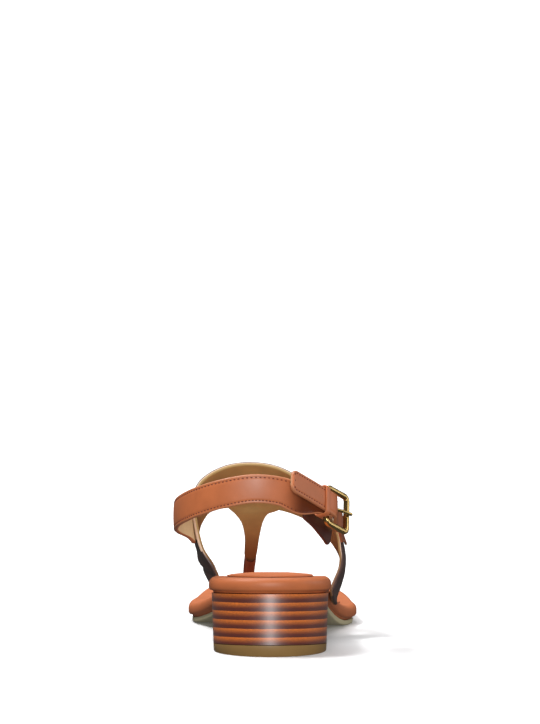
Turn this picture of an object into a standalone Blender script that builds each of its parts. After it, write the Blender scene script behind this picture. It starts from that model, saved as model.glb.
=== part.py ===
"""T strap sandal for the right foot, on a low stacked block heel. Metres, +Z up.

The toe points along +Y and the lateral side is +X. The origin is on the floor, under the middle
of the heel tip. Lengths along the shoe are measured from the back of the heel and called "along";
the medial side is -1 and the lateral side is +1.
"""

import math

import bmesh
import bpy
import numpy as np

MEDIAL, LATERAL = -1, 1

# Sole
SOLE_LENGTH = 0.246
HEEL_WIDTH = 0.0625
WAIST_WIDTH = 0.0565
BALL_WIDTH = 0.091
TOE_WIDTH = 0.085
HEEL_ROUND = 0.033        # length of the rounded back
TOE_ROUND = 0.062         # length of the rounded toe
TOE_SWING = -0.010        # the toe's tip lies this far to the medial side
HEEL_HEIGHT = 0.0295      # rise of the footbed's underside at the back, over the ball
SEAT_SLOPE = 0.08         # fall of the heel seat towards the front
SEAT_LENGTH = 0.050       # straight part of the seat
TREAD_START = 0.158       # where the sole comes down to the floor
TREAD_END = 0.182         # where it leaves it again
TREAD_SKEW = 0.20         # the tread line runs forward on the medial side
TOE_SPRING = 0.0078
OUTSOLE_THICKNESS = 0.0025
OUTSOLE_INSET = 0.0022
OUTSOLE_EDGE = 0.0008     # bevel of its lower edge
FOOTBED_THICKNESS = 0.008
FOOTBED_EDGE = 0.0035     # radius of the wrapped upper edge
FOOTBED_LOWER_EDGE = 0.0010
INSOLE_INSET = 0.0092
INSOLE_THICKNESS = 0.0015
INSOLE_EDGE = 0.0010

# Heel
HEEL_BREAST = 0.048       # front face of the heel block
HEEL_TOP_INSET = 0.00155
HEEL_TIP_INSET = 0.00235
TOP_LIFT_TAPER = 0.0002   # its floor face is smaller by this
TOP_LIFT_BACK = 0.0060
TOP_LIFT_LEAN = 0.072     # the top lift thins towards the front by this slope

# Upper
WALL = 0.0022
INSTEP_HEIGHT = 0.091
LEG_BACK = 0.079          # where the legs' rear edges meet the sole
LEG_FRONT = 0.098         # where their front edges meet it
CROWN = 0.0012            # roundness of the strap across its width
STEM_TONGUE = 0.0041      # width of the stem's end, inside the toe post

# Toe post
POST_WIDTH = 0.0065
POST_DEPTH = 0.0052
POST_HORN = 0.0009        # the sleeve's rim rises at its sides by this and dips between them
POST_POCKET = 0.0065      # depth of the pocket that takes the stem's end
POST_FOOT = 0.0005        # its foot lies this far in front of the last row of its table

# Sling straps
SLING_WIDTH = 0.0145
SLING_THICKNESS = 0.0022
FOLD_WIDTH = 0.0122       # the heel strap narrows to this at its fold round the buckle
FOLD_THICKNESS = 0.0013   # and is pared down to this
TIE_WIDTH = 0.0120
TIE_THICKNESS = 0.0018
TIE_TIP = 0.0465          # its free tip ends this far behind the buckle's centre
GUARD_WIDTH = 0.0160
GUARD_THICKNESS = 0.0016
KEEPER_WIDTH = 0.0034
KEEPER_THICKNESS = 0.0009
KEEPER_PLACE = 0.0165     # behind the buckle's centre
KEEPER_CORNER = 0.0016
KEEPER_SLACK = 0.0004     # room between the keeper and the buckle strap
KEEPER_DRIFT = 0.0016     # the heel strap under it lies this much further in than at the fold
KEEPER_DROP = 0.0017      # its middle lies this far below the frame's
KEEPER_ROOM = 0.0008
STRAP_EDGE = 0.0006       # bevel of a strap's long edges

# Buckle
BUCKLE_HEIGHT = 0.0222    # along its bars
BUCKLE_LENGTH = 0.0200    # along the strap
BUCKLE_BAR = 0.0028
BUCKLE_CORNER = 0.0024
BUCKLE_TURN = math.radians(40)    # heading, from straight ahead to the lateral side
BUCKLE_PITCH = math.radians(22.5)   # fall towards the front
BUCKLE_LEAN = math.radians(16)    # its face looks up by this
BAR_BEVEL = 0.35          # bevel of the frame's bars, as a share of half a bar
BAR_REACH = 0.62          # half a bar's diagonal, as a share of a bar
PRONG_DIAMETER = 0.0018
PRONG_TIP = 0.0012        # the prong reaches this far past the far bar's middle
SLIT_LENGTH = 0.0085      # slit of the heel strap's fold, for the prong

GAP = 0.0003              # clearance between pieces that meet

HALF_BALL = BALL_WIDTH / 2
SEAT_LIFT = OUTSOLE_THICKNESS + GAP
TOP_LIFT_MIDDLE = (HEEL_BREAST + HEEL_TIP_INSET) / 2
FOLD_OUT = BAR_REACH * BUCKLE_BAR + GAP + FOLD_THICKNESS / 2    # the fold's radius round the bar

# Sole outline: along (share of the length), width there, share of that width, medial share
OUTLINE = (
    (0.00, HEEL_WIDTH, 1.000, 0.500),
    (0.13, HEEL_WIDTH, 1.000, 0.500),
    (0.24, HEEL_WIDTH, 0.965, 0.485),
    (0.36, WAIST_WIDTH, 1.000, 0.446),
    (0.47, BALL_WIDTH, 0.745, 0.462),
    (0.57, BALL_WIDTH, 0.900, 0.476),
    (0.64, BALL_WIDTH, 0.995, 0.482),
    (0.71, BALL_WIDTH, 0.985, 0.492),
    (0.80, TOE_WIDTH, 1.000, 0.488),
    (1.00, TOE_WIDTH, 0.970, 0.500),
)

# Upper from the medial to the lateral side, above the sole. Columns: across, along and height of
# the rear edge, then of the front edge, as shares of half the ball width, the sole's length and
# the instep height
STRAP = (
    (-0.668, 0.346, 0.400, -0.800, 0.446, 0.385),
    (-0.806, 0.352, 0.515, -0.868, 0.470, 0.495),
    (-0.875, 0.361, 0.660, -0.862, 0.494, 0.600),
    (-0.902, 0.375, 0.790, -0.784, 0.514, 0.682),
    (-0.805, 0.397, 0.905, -0.655, 0.526, 0.716),
    (-0.535, 0.423, 0.980, -0.500, 0.532, 0.728),
    (-0.220, 0.435, 1.000, -0.215, 0.541, 0.734),
    (0.085, 0.431, 0.978, 0.118, 0.531, 0.715),
    (0.340, 0.419, 0.915, 0.360, 0.521, 0.678),
    (0.575, 0.398, 0.812, 0.545, 0.509, 0.627),
    (0.742, 0.379, 0.685, 0.718, 0.494, 0.545),
    (0.838, 0.362, 0.548, 0.850, 0.472, 0.440),
    (0.840, 0.350, 0.420, 0.868, 0.448, 0.335),
)
STEM_FROM, STEM_TO = 5, 7     # rows of the table between which the stem leaves the front edge

# Stem and toe post. Columns: across, along and height as in the upper's table, and half the
# stem's width as a share of the stem's width in the toe post's pocket
STEM = (
    (-0.216, 0.550, 0.680, 2.15),
    (-0.212, 0.574, 0.626, 1.38),
    (-0.210, 0.606, 0.566, 1.03),
    (-0.216, 0.650, 0.493, 0.81),
    (-0.226, 0.690, 0.430, 0.75),
    (-0.234, 0.716, 0.388, 0.68),
    (-0.236, 0.727, 0.368, 0.50),
)
POST = (
    (-0.236, 0.727, 0.368),
    (-0.243, 0.741, 0.335),
    (-0.256, 0.757, 0.275),
    (-0.268, 0.766, 0.200),
)

# Sling from the back of the heel's medial side to the buckle: across, along, height (shares)
SLING = (
    (-0.945, 0.330, 0.662),
    (-1.035, 0.265, 0.704),
    (-1.060, 0.190, 0.743),
    (-0.995, 0.110, 0.795),
    (-0.800, 0.048, 0.855),
    (-0.520, 0.016, 0.905),
    (-0.180, 0.005, 0.935),
    (0.130, 0.013, 0.917),
    (0.330, 0.030, 0.868),
)
# Stitched ends on the upper: row of its table, share of its width from the rear
SLING_END = ((2.10, 0.62), (1.95, 0.36), (1.80, 0.10))
TIE = (
    (0.785, 0.205, 0.712),
    (0.808, 0.258, 0.668),
    (0.828, 0.312, 0.628),
)
TIE_END = ((10.50, 0.06), (10.50, 0.26), (10.50, 0.46))
GUARD = (
    (0.402, 0.074, 0.838),
    (0.512, 0.108, 0.780),
    (0.610, 0.146, 0.708),
    (0.680, 0.186, 0.640),
)
BUCKLE_PLACE = (0.744, 0.126, 0.790)

# Heel strap on its way to its fold: length from the bar, distance out as a share of FOLD_OUT,
# height over the frame's middle
FOLD_APPROACH = ((-0.0100, 0.50, -0.0024), (-0.0045, 0.76, -0.0018))
STRAP_DROP = 0.0012       # the straps lie this far below the frame's middle
FOLD_END = 0.0025         # the folded end reaches this far back past the bar
TIE_BEND = 0.72           # where the buckle strap turns in past the heel bar
TIE_LIFT = 0.0014         # its free tip stands off by this
TIE_DIP = 0.0006          # it lies this far in at the buckle's centre
TIE_DROP = 0.0062         # and this far in under the far bar
SLING_ROUND = 0.003       # radii of the straps' corners
TIE_ROUNDS = (0.0035, 0.003)
GUARD_ROUNDS = (0.003, 0.005)

TAN = ("tan_leather", (0.52, 0.16, 0.055), 0.45, 0.0)
DARK = ("dark_coated_upper", (0.055, 0.028, 0.020), 0.5, 0.0)
STACK = ("stacked_leather", (0.42, 0.10, 0.02), 0.25, 0.0)
LIFT = ("heel_tip_rubber", (0.17, 0.115, 0.035), 0.55, 0.0)
CREAM = ("cream_outsole", (0.66, 0.60, 0.44), 0.6, 0.0)
POST_LEATHER = ("post_leather", (0.30, 0.075, 0.030), 0.5, 0.0)
BRASS = ("brass", (0.55, 0.40, 0.15), 0.2, 1.0)


def through(rows, at):
    """Smooth curve through rows (parameter, values...), read at each parameter in at."""
    rows = np.asarray(rows, float)
    at = np.atleast_1d(np.asarray(at, float))
    knots, values = rows[:, 0], rows[:, 1:]
    slopes = np.empty_like(values)
    slopes[1:-1] = (values[2:] - values[:-2]) / (knots[2:] - knots[:-2])[:, None]
    slopes[0] = (values[1] - values[0]) / (knots[1] - knots[0])
    slopes[-1] = (values[-1] - values[-2]) / (knots[-1] - knots[-2])
    low = np.clip(np.searchsorted(knots, at, side="right") - 1, 0, len(knots) - 2)
    step = knots[low + 1] - knots[low]
    t = ((at - knots[low]) / step)[:, None]
    step = step[:, None]
    return ((2 * t**3 - 3 * t**2 + 1) * values[low] + (t**3 - 2 * t**2 + t) * step * slopes[low]
            + (3 * t**2 - 2 * t**3) * values[low + 1] + (t**3 - t**2) * step * slopes[low + 1])


def unit(vectors):
    """Vectors of length one."""
    vectors = np.asarray(vectors, float)
    return vectors / np.linalg.norm(vectors, axis=-1, keepdims=True)


def ramp(value, start, end):
    """Smooth step from 0 at start to 1 at end."""
    t = np.clip((value - start) / (end - start), 0, 1)
    return t * t * (3 - 2 * t)


def quarter_round(share):
    """Height of a quarter circle over its base, from 0 at its end to 1."""
    return np.sqrt(1 - (1 - np.clip(share, 0, 1)) ** 2)


def shares(row):
    """Point given as shares of half the ball width, the sole's length and the instep height."""
    return np.asarray(row[:3], float) * (HALF_BALL, SOLE_LENGTH, INSTEP_HEIGHT)


def edge(side, along):
    """Distance across of the sole's edge on one side."""
    rows = [(part * SOLE_LENGTH, width * share * medial, width * share * (1 - medial))
            for part, width, share, medial in OUTLINE]
    half = through(rows, along)[:, 0 if side == MEDIAL else 1]
    across = side * half * quarter_round(np.asarray(along) / HEEL_ROUND)
    toe = quarter_round((SOLE_LENGTH - np.asarray(along)) / TOE_ROUND)
    return TOE_SWING + (across - TOE_SWING) * toe


def rim(side, turn, inset=0.0):
    """Points (across, along) of the outline, moved in by inset. The turn runs from 0 at the back
    to pi at the toe, so that the points lie closer together on the round ends."""
    def spot(angle):
        along = SOLE_LENGTH * (1 - np.cos(angle)) / 2
        return np.stack([edge(side, along), along], axis=-1)

    step = 1e-4
    turn = np.asarray(turn, float)
    before, after = spot(np.clip(turn - step, 0, math.pi)), spot(np.clip(turn + step, 0, math.pi))
    along_edge = unit(after - before)
    along_edge[turn < step] = (side, 0.0)
    along_edge[turn > math.pi - step] = (-side, 0.0)
    outward = np.stack([side * along_edge[:, 1], -side * along_edge[:, 0]], axis=-1)
    return spot(turn) - inset * outward


def turn_at(along):
    """Turn at which the outline reaches a length along the sole."""
    return np.arccos(np.clip(1 - 2 * np.asarray(along) / SOLE_LENGTH, -1, 1))


def rise(across, along):
    """Height of the sole's line over its tread: heel seat, arch, flat tread and toe spring."""
    along = along + TREAD_SKEW * across * ramp(along, SEAT_LENGTH, TREAD_START)
    seat = HEEL_HEIGHT - SEAT_SLOPE * along
    run = TREAD_START - SEAT_LENGTH
    t = np.clip((along - SEAT_LENGTH) / run, 0, 1)
    seat_end = HEEL_HEIGHT - SEAT_SLOPE * SEAT_LENGTH
    arch = (2 * t**3 - 3 * t**2 + 1) * seat_end - (t**3 - 2 * t**2 + t) * run * SEAT_SLOPE
    toe = np.clip((along - TREAD_END) / (SOLE_LENGTH - TREAD_END), 0, None)
    return np.where(along < SEAT_LENGTH, seat, arch) + TOE_SPRING * toe**1.6


def underside(across, along):
    """Height of the footbed's underside."""
    return SEAT_LIFT + rise(across, along)


def top_side(across, along):
    """Height of the footbed's top."""
    return underside(across, along) + FOOTBED_THICKNESS


def tip_top(along):
    """Height of the top lift's upper face."""
    return TOP_LIFT_BACK - TOP_LIFT_LEAN * along


def material(finish):
    """Material of one finish: its name, linear colour, roughness and metallic value."""
    name, colour, roughness, metallic = finish
    made = bpy.data.materials.get(name) or bpy.data.materials.new(name)
    made.use_nodes = True
    shader = made.node_tree.nodes["Principled BSDF"]
    shader.inputs["Base Color"].default_value = (*colour, 1.0)
    shader.inputs["Roughness"].default_value = roughness
    shader.inputs["Metallic"].default_value = metallic
    made.diffuse_color = (*colour, 1.0)
    return made


def add_object(name, points, faces, finish, closed=True):
    """Object of one mesh, moved so that the floor under the heel tip's middle is the origin."""
    shift = np.array((0.0, -TOP_LIFT_MIDDLE, 0.0))
    mesh = bpy.data.meshes.new(name)
    mesh.from_pydata([tuple(point) for point in np.asarray(points) + shift], [], faces)
    work = bmesh.new()
    work.from_mesh(mesh)
    bmesh.ops.remove_doubles(work, verts=work.verts, dist=1e-6)
    if closed:
        bmesh.ops.recalc_face_normals(work, faces=work.faces)
    work.to_mesh(mesh)
    work.free()
    mesh.shade_smooth()
    mesh.set_sharp_from_angle(angle=math.radians(40))
    mesh.materials.append(material(finish))
    made = bpy.data.objects.new(name, mesh)
    bpy.context.scene.collection.objects.link(made)
    return made


def loop_faces(first, second, count):
    """Quads between two closed rings of count points that start at these indices."""
    return [(first + i, first + (i + 1) % count, second + (i + 1) % count, second + i)
            for i in range(count)]


def plate(name, start, end, levels, finish, stations=38, columns=4):
    """Solid with the sole's outline between two lengths along it. The levels, from the lowest up,
    are pairs of an inset and a height function of (across, along)."""
    turns = np.linspace(turn_at(start), turn_at(end), stations + 1)
    between = np.arange(1, columns)[:, None] / columns
    points, faces, rings, flats = [], [], [], []
    for inset, height in levels:
        left, right = rim(MEDIAL, turns, inset), rim(LATERAL, turns, inset)
        front = left[-1] + (right[-1] - left[-1]) * between
        back = right[0] + (left[0] - right[0]) * between
        flat = np.vstack([left, front, right[::-1], back])
        rings.append(len(points))
        flats.append((left, right, height))
        points.extend(np.column_stack([flat, height(flat[:, 0], flat[:, 1])]))
    count = len(flat)
    for lower, upper in zip(rings, rings[1:]):
        faces += loop_faces(lower, upper, count)
    for ring, (left, right, height) in ((rings[0], flats[0]), (rings[-1], flats[-1])):
        lines = [list(range(ring, ring + stations + 1))]
        for column in range(1, columns):
            inner = (left + (right - left) * column / columns)[1:-1]
            line = list(range(len(points), len(points) + stations - 1))
            points.extend(np.column_stack([inner, height(inner[:, 0], inner[:, 1])]))
            lines.append([ring + count - column, *line, ring + stations + column])
        lateral = ring + stations + columns
        lines.append(list(range(lateral + stations, lateral - 1, -1)))
        for one, other in zip(lines, lines[1:]):
            faces += [(one[i], one[i + 1], other[i + 1], other[i]) for i in range(stations)]
    return add_object(name, points, faces, finish)


def smooth_path(points, spacing, start_round=0.0, end_round=0.0):
    """Smooth curve through points: stations about this far apart, at least two to each stretch
    between points, and closer together on the rounded ends. A row may hold more columns than the
    place. Returns the rows, the length at each and the whole length."""
    points = np.asarray(points, float)
    chords = np.linalg.norm(np.diff(points[:, :3], axis=0), axis=1)
    knots = np.concatenate([[0], np.cumsum(chords)])
    fine_at = np.linspace(0, knots[-1], 900)
    fine = through(np.column_stack([knots, points]), fine_at)
    length = np.concatenate([[0], np.cumsum(np.linalg.norm(np.diff(fine[:, :3], axis=0), axis=1))])
    whole = length[-1]
    marks = np.concatenate([np.linspace(a, b, max(2, round(chord / spacing)), endpoint=False)
                            for a, b, chord in zip(knots, knots[1:], chords)])
    stations = np.interp(marks, fine_at, length)
    clear = spacing / 4
    stations = stations[(stations > start_round + clear * (start_round > 0))
                        & (stations < whole - end_round - clear)]
    near_end = 1 - np.cos(np.linspace(0, math.pi / 2, 5))
    head = near_end * start_round if start_round else np.zeros(1)
    tail = whole - (near_end * end_round)[::-1] if end_round else np.full(1, whole)
    stations = np.concatenate([head, stations[stations > head[-1]], tail])
    rows = np.column_stack([np.interp(stations, length, fine[:, i]) for i in range(fine.shape[1])])
    return rows, stations, whole


def end_widths(stations, whole, half, start_round, end_round):
    """Half widths along a strap whose ends are rounded over these lengths."""
    widths = half.copy()
    for distance, radius in ((stations, start_round), (whole - stations, end_round)):
        if radius:
            inside = distance < radius
            depth = np.clip(distance[inside] / radius, 0.0, 1)
            widths[inside] -= radius * (1 - quarter_round(depth)) * 0.92
    return widths


def strap_rings(centre, across, half_widths, half_thicks):
    """Rings of eight points round a strap's centre line, with bevelled long edges."""
    ahead = unit(np.gradient(centre, axis=0))
    across = unit(across - np.sum(across * ahead, axis=1, keepdims=True) * ahead)
    out = np.cross(ahead, across)
    rings = []
    for i in range(len(centre)):
        wide, thick = half_widths[i], half_thicks[i]
        bevel = min(STRAP_EDGE, 0.6 * thick)
        corners = ((wide, thick - bevel), (wide - bevel, thick), (bevel - wide, thick),
                   (-wide, thick - bevel), (-wide, bevel - thick), (bevel - wide, -thick),
                   (wide - bevel, -thick), (wide, bevel - thick))
        rings.append([centre[i] + a * across[i] + b * out[i] for a, b in corners])
    return rings


def ring_solid(name, rings, finish, loop=False):
    """Solid from rings of points: a closed loop of rings, or one with an end face at each end."""
    count = len(rings[0])
    points = [point for ring in rings for point in ring]
    faces = []
    for i in range(len(rings) - 1 + loop):
        faces += loop_faces(i * count, (i + 1) % len(rings) * count, count)
    if not loop:
        faces.append(tuple(range(count)))
        faces.append(tuple(range(len(points) - count, len(points))))
    return add_object(name, points, faces, finish)


def round_rings(centre, radius, sides=10):
    """Rings of a round bar along a line of points."""
    centre = np.asarray(centre, float)
    ahead = unit(np.gradient(centre, axis=0))
    aside = unit(np.cross(ahead, (0.31, 0.17, 0.93)))
    up = np.cross(ahead, aside)
    turns = np.linspace(0, 2 * math.pi, sides, endpoint=False)
    return [[c + radius * (math.cos(t) * a + math.sin(t) * u) for t in turns]
            for c, a, u in zip(centre, aside, up)]


def subtract(target, cutter):
    """Cut a hidden cutter out of an object, leaving the Boolean on it."""
    cutter.hide_render = True
    cutter.display_type = "WIRE"
    cut = target.modifiers.new("cut", "BOOLEAN")
    cut.operation = "DIFFERENCE"
    cut.solver = "EXACT"
    cut.object = cutter


def leg_foot(side, along, low):
    """Middle of the upper's wall beside the footbed: at the sole seam, or near the top edge."""
    turn = np.atleast_1d(turn_at(along))
    flat = rim(side, turn, -(2 * GAP + WALL / 2))[0]
    if low:
        height = underside(*flat) + FOOTBED_LOWER_EDGE
    else:
        height = top_side(*flat) - FOOTBED_EDGE
    return np.array((flat[0], flat[1], float(height)))


def strap_line(share):
    """Control points of the upper across the foot, at a share of its width from rear to front."""
    along = LEG_BACK + (LEG_FRONT - LEG_BACK) * share
    crown = 4 * share * (1 - share) * CROWN
    rows = []
    for row in STRAP:
        rear, front = shares(row[:3]), shares(row[3:])
        point = rear + (front - rear) * share
        outward = unit((point[0] - TOE_SWING, 0.0, point[2] - INSTEP_HEIGHT / 2))
        rows.append(point + (crown - WALL / 2) * outward)
    return np.array([leg_foot(MEDIAL, along, True), leg_foot(MEDIAL, along, False), *rows,
                     leg_foot(LATERAL, along, False), leg_foot(LATERAL, along, True)])


def strap_knots():
    """Parameter of each control line, from the chords half-way across the strap's width."""
    middle = strap_line(0.5)
    return np.concatenate([[0], np.cumsum(np.linalg.norm(np.diff(middle, axis=0), axis=1))])


def strap_point(row, share):
    """Point of the upper at a row of its table (may lie between rows) and a share of its width."""
    knots = strap_knots()
    at = np.interp(row + 2, range(len(knots)), knots)
    return through(np.column_stack([knots, strap_line(share)]), at)[0]


def on_strap(row, share, stand_off):
    """Place above the upper's outer face, and the direction up along it across the foot."""
    small = 0.02
    here = strap_point(row, share)
    ahead = unit(strap_point(row, share + small) - strap_point(row, share - small))
    upward = unit(strap_point(row + small, share) - strap_point(row - small, share))
    if upward[2] < 0:
        upward = -upward
    out = unit(np.cross(ahead, upward))
    if out[0] * here[0] < 0:
        out = -out
    return here + out * (WALL / 2 + stand_off), upward


def make_sole():
    """Outsole, footbed and insole."""
    low = FOOTBED_LOWER_EDGE
    radius = FOOTBED_EDGE
    levels = [(low + OUTSOLE_INSET, underside), (OUTSOLE_INSET, lambda x, y: underside(x, y) + low)]
    levels.append((0.0, lambda x, y: underside(x, y) + 2 * low))
    for angle in np.radians((0, 30, 60, 90)):
        drop, inset = radius * (1 - math.sin(angle)), radius * (1 - math.cos(angle))
        levels.append((inset, lambda x, y, drop=drop: top_side(x, y) - drop))
    plate("footbed", 0.0, SOLE_LENGTH, levels, TAN)

    inset = OUTSOLE_INSET
    sole_top, sole_low = -GAP, -GAP - OUTSOLE_THICKNESS
    levels = ((inset + OUTSOLE_EDGE, lambda x, y: underside(x, y) + sole_low),
              (inset, lambda x, y: underside(x, y) + sole_low + OUTSOLE_EDGE),
              (inset, lambda x, y: underside(x, y) + sole_top))
    plate("outsole", HEEL_BREAST + GAP, SOLE_LENGTH, levels, CREAM)

    top = GAP + INSOLE_THICKNESS
    levels = [(INSOLE_INSET, lambda x, y: top_side(x, y) + GAP)]
    for angle in np.radians((0, 45, 90)):
        drop, inset = INSOLE_EDGE * (1 - math.sin(angle)), INSOLE_EDGE * (1 - math.cos(angle))
        levels.append((INSOLE_INSET + inset, lambda x, y, drop=drop: top_side(x, y) + top - drop))
    plate("insole", 0.0, SOLE_LENGTH, levels, TAN)


def make_heel():
    """Heel block and top lift, both under the seat."""
    levels = ((HEEL_TIP_INSET, lambda x, y: tip_top(y) + GAP),
              (HEEL_TOP_INSET, lambda x, y: underside(x, y) - GAP))
    plate("heel_block", 0.0, HEEL_BREAST, levels, STACK, stations=22)
    levels = ((HEEL_TIP_INSET + TOP_LIFT_TAPER, lambda x, y: 0 * y),
              (HEEL_TIP_INSET, lambda x, y: tip_top(y)))
    plate("top_lift", 0.0, HEEL_BREAST, levels, LIFT, stations=22)


def make_upper():
    """The upper as one wall: a sheet over the instep with both legs, and the stem."""
    per_row, rows_deep = 3, 6
    knots = strap_knots()
    marks = np.concatenate([np.linspace(a, b, per_row, endpoint=False)
                            for a, b in zip(knots, knots[1:])] + [knots[-1:]])
    grid = np.array([through(np.column_stack([knots, strap_line(share)]), marks)
                     for share in np.linspace(0, 1, rows_deep + 1)])
    wide = len(marks)
    points = list(grid.reshape(-1, 3))
    faces = []
    for i in range(rows_deep):
        faces += [(i * wide + j, i * wide + j + 1, (i + 1) * wide + j + 1, (i + 1) * wide + j)
                  for j in range(wide - 1)]

    first, last = (STEM_FROM + 2) * per_row, (STEM_TO + 2) * per_row
    columns = last - first
    lead = grid[rows_deep - 1, first:last + 1], grid[rows_deep, first:last + 1]
    spread = np.linspace(-1, 1, columns + 1)
    lines = [*lead]
    for row in STEM:
        centre, half = shares(row), row[3] * STEM_TONGUE
        lines.append(centre + np.outer(spread * half, (1, 0, 0)))
    for place in post_line()[0][1:3]:
        lines.append(place + np.outer(spread * STEM_TONGUE / 2, (1, 0, 0)))
    lines = np.array(lines)
    middle = lines[:, columns // 2]
    length = np.concatenate([[0], np.cumsum(np.linalg.norm(np.diff(middle, axis=0), axis=1))])
    at = np.concatenate([np.linspace(a, b, 3, endpoint=False)[0 if k else 1:]
                         for k, (a, b) in enumerate(zip(length[1:], length[2:]))] + [length[-1:]])
    stem = np.stack([through(np.column_stack([length, lines[:, j]]), at)
                     for j in range(columns + 1)], axis=1)
    previous = [rows_deep * wide + first + j for j in range(columns + 1)]
    for line in stem:
        current = list(range(len(points), len(points) + columns + 1))
        points.extend(line)
        faces += [(previous[j], previous[j + 1], current[j + 1], current[j])
                  for j in range(columns)]
        previous = current
    made = add_object("t_strap", points, faces, DARK, closed=False)
    wall = made.modifiers.new("wall", "SOLIDIFY")
    wall.thickness = WALL
    wall.offset = 0.0
    wall.use_even_offset = True


def post_line():
    """Centre line of the toe post, from the stem down to the insole, and its direction."""
    foot = shares((*POST[-1][:2], 0)) + (0, POST_FOOT, 0)
    foot[2] = float(top_side(foot[0], foot[1])) + 2.5 * GAP + INSOLE_THICKNESS
    rows, _, _ = smooth_path([*(shares(row) for row in POST), foot], 0.0020)
    return rows, unit(np.gradient(rows, axis=0))


def make_post():
    """Sleeve with a pocket for the stem's end: outer rings up, over its rim and down inside."""
    line, ahead = post_line()
    sides = 16
    turns = np.linspace(0, 2 * math.pi, sides, endpoint=False)
    aside = unit(np.cross(ahead, np.cross((1.0, 0.0, 0.0), ahead)))
    deep = np.cross(ahead, aside)

    def ring(index, wide, thick, horn=0.0, square=0.8):
        shape = [(math.copysign(abs(math.cos(t)) ** square, math.cos(t)) * wide / 2,
                  math.copysign(abs(math.sin(t)) ** square, math.sin(t)) * thick / 2)
                 for t in turns]
        return [line[index] + a * aside[index] + b * deep[index]
                - horn * math.cos(2 * t) * ahead[index] for (a, b), t in zip(shape, turns)]

    rings = [ring(index, POST_WIDTH, POST_DEPTH) for index in range(len(line) - 1, 0, -1)]
    pocket = STEM_TONGUE + 3 * GAP, WALL + 3 * GAP
    rings.append(ring(0, POST_WIDTH, POST_DEPTH, POST_HORN))
    rings.append(ring(0, *pocket, POST_HORN, 0.45))
    depth = np.linalg.norm(line[0] - line, axis=1)
    floor = int(np.argmin(abs(depth - POST_POCKET)))
    rings += [ring(index, *pocket, 0.0, 0.45) for index in range(1, floor + 1)]
    ring_solid("toe_post", rings, POST_LEATHER)


def buckle_axes():
    """Centre of the buckle and its directions: along the strap, up along its bars, outward."""
    turn, pitch, lean = BUCKLE_TURN, BUCKLE_PITCH, BUCKLE_LEAN
    ahead = np.array((math.sin(turn) * math.cos(pitch), math.cos(turn) * math.cos(pitch),
                      -math.sin(pitch)))
    level = np.array((math.cos(turn), -math.sin(turn), 0.0))
    over = np.cross(level, ahead)
    out = math.cos(lean) * level + math.sin(lean) * over
    return shares(BUCKLE_PLACE), ahead, np.cross(out, ahead), out


def by_buckle(along, out, up=0.0):
    """Point given by its lengths along the strap, outward and upward from the buckle's centre."""
    centre, ahead, upward, outward = buckle_axes()
    return centre + along * ahead + out * outward + up * upward


def make_buckle():
    """Rectangular frame, and the prong from its heel bar through the strap to its far bar."""
    half_length, half_height = (BUCKLE_LENGTH - BUCKLE_BAR) / 2, (BUCKLE_HEIGHT - BUCKLE_BAR) / 2
    corner = BUCKLE_CORNER
    centre, ahead, up, out = buckle_axes()
    rings = []
    bar = BUCKLE_BAR / 2
    cut = BAR_BEVEL * bar
    section = ((bar, bar - cut), (bar - cut, bar), (cut - bar, bar), (-bar, bar - cut),
               (-bar, cut - bar), (cut - bar, -bar), (bar - cut, -bar), (bar, cut - bar))
    for quarter in range(4):
        for part in (0, 30, 60, 90):
            angle = math.radians(90 * quarter + part)
            corner_at = math.radians(90 * quarter + 45)
            middle = (math.copysign(half_length - corner, math.cos(corner_at)),
                      math.copysign(half_height - corner, math.sin(corner_at)))
            away = math.cos(angle) * ahead + math.sin(angle) * up
            place = centre + middle[0] * ahead + middle[1] * up + corner * away
            rings.append([place + a * away + b * out for a, b in section])
    ring_solid("buckle_frame", rings, BRASS, loop=True)

    radius = PRONG_DIAMETER / 2
    seat = bar + GAP + radius
    lengths = ((-half_length + seat, -0.20), (-0.42 * half_length, -0.10), (0.0, 0.25),
               (0.55 * half_length, 0.74), (half_length, 1.04), (half_length + PRONG_TIP, 1.0))
    prong = [by_buckle(along, share * seat) for along, share in lengths]
    line, _, _ = smooth_path(prong, 0.0014)
    ring_solid("buckle_prong", round_rings(line, radius), BRASS)
    hole = ring_solid("prong_hole", round_rings(line[1:-2], radius + GAP), BRASS)
    slit_line = [by_buckle(-half_length + along, 0.0) for along in np.linspace(0, SLIT_LENGTH, 3)]
    slit = ring_solid("prong_slit", round_rings(slit_line, radius + 2 * GAP), BRASS)
    return hole, slit


def strap(name, controls, finish, start_round=0.0, end_round=0.0):
    """Flat strap along a smooth line, whose controls are a point, its across, its width and its
    thickness."""
    rows = [(*point, *across, width, thick) for point, across, width, thick in controls]
    rows, stations, whole = smooth_path(rows, 0.0036, start_round, end_round)
    widths = end_widths(stations, whole, rows[:, 6] / 2, start_round, end_round)
    rings = strap_rings(rows[:, :3], rows[:, 3:6], widths, rows[:, 7] / 2)
    return ring_solid(name, rings, finish)


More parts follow.
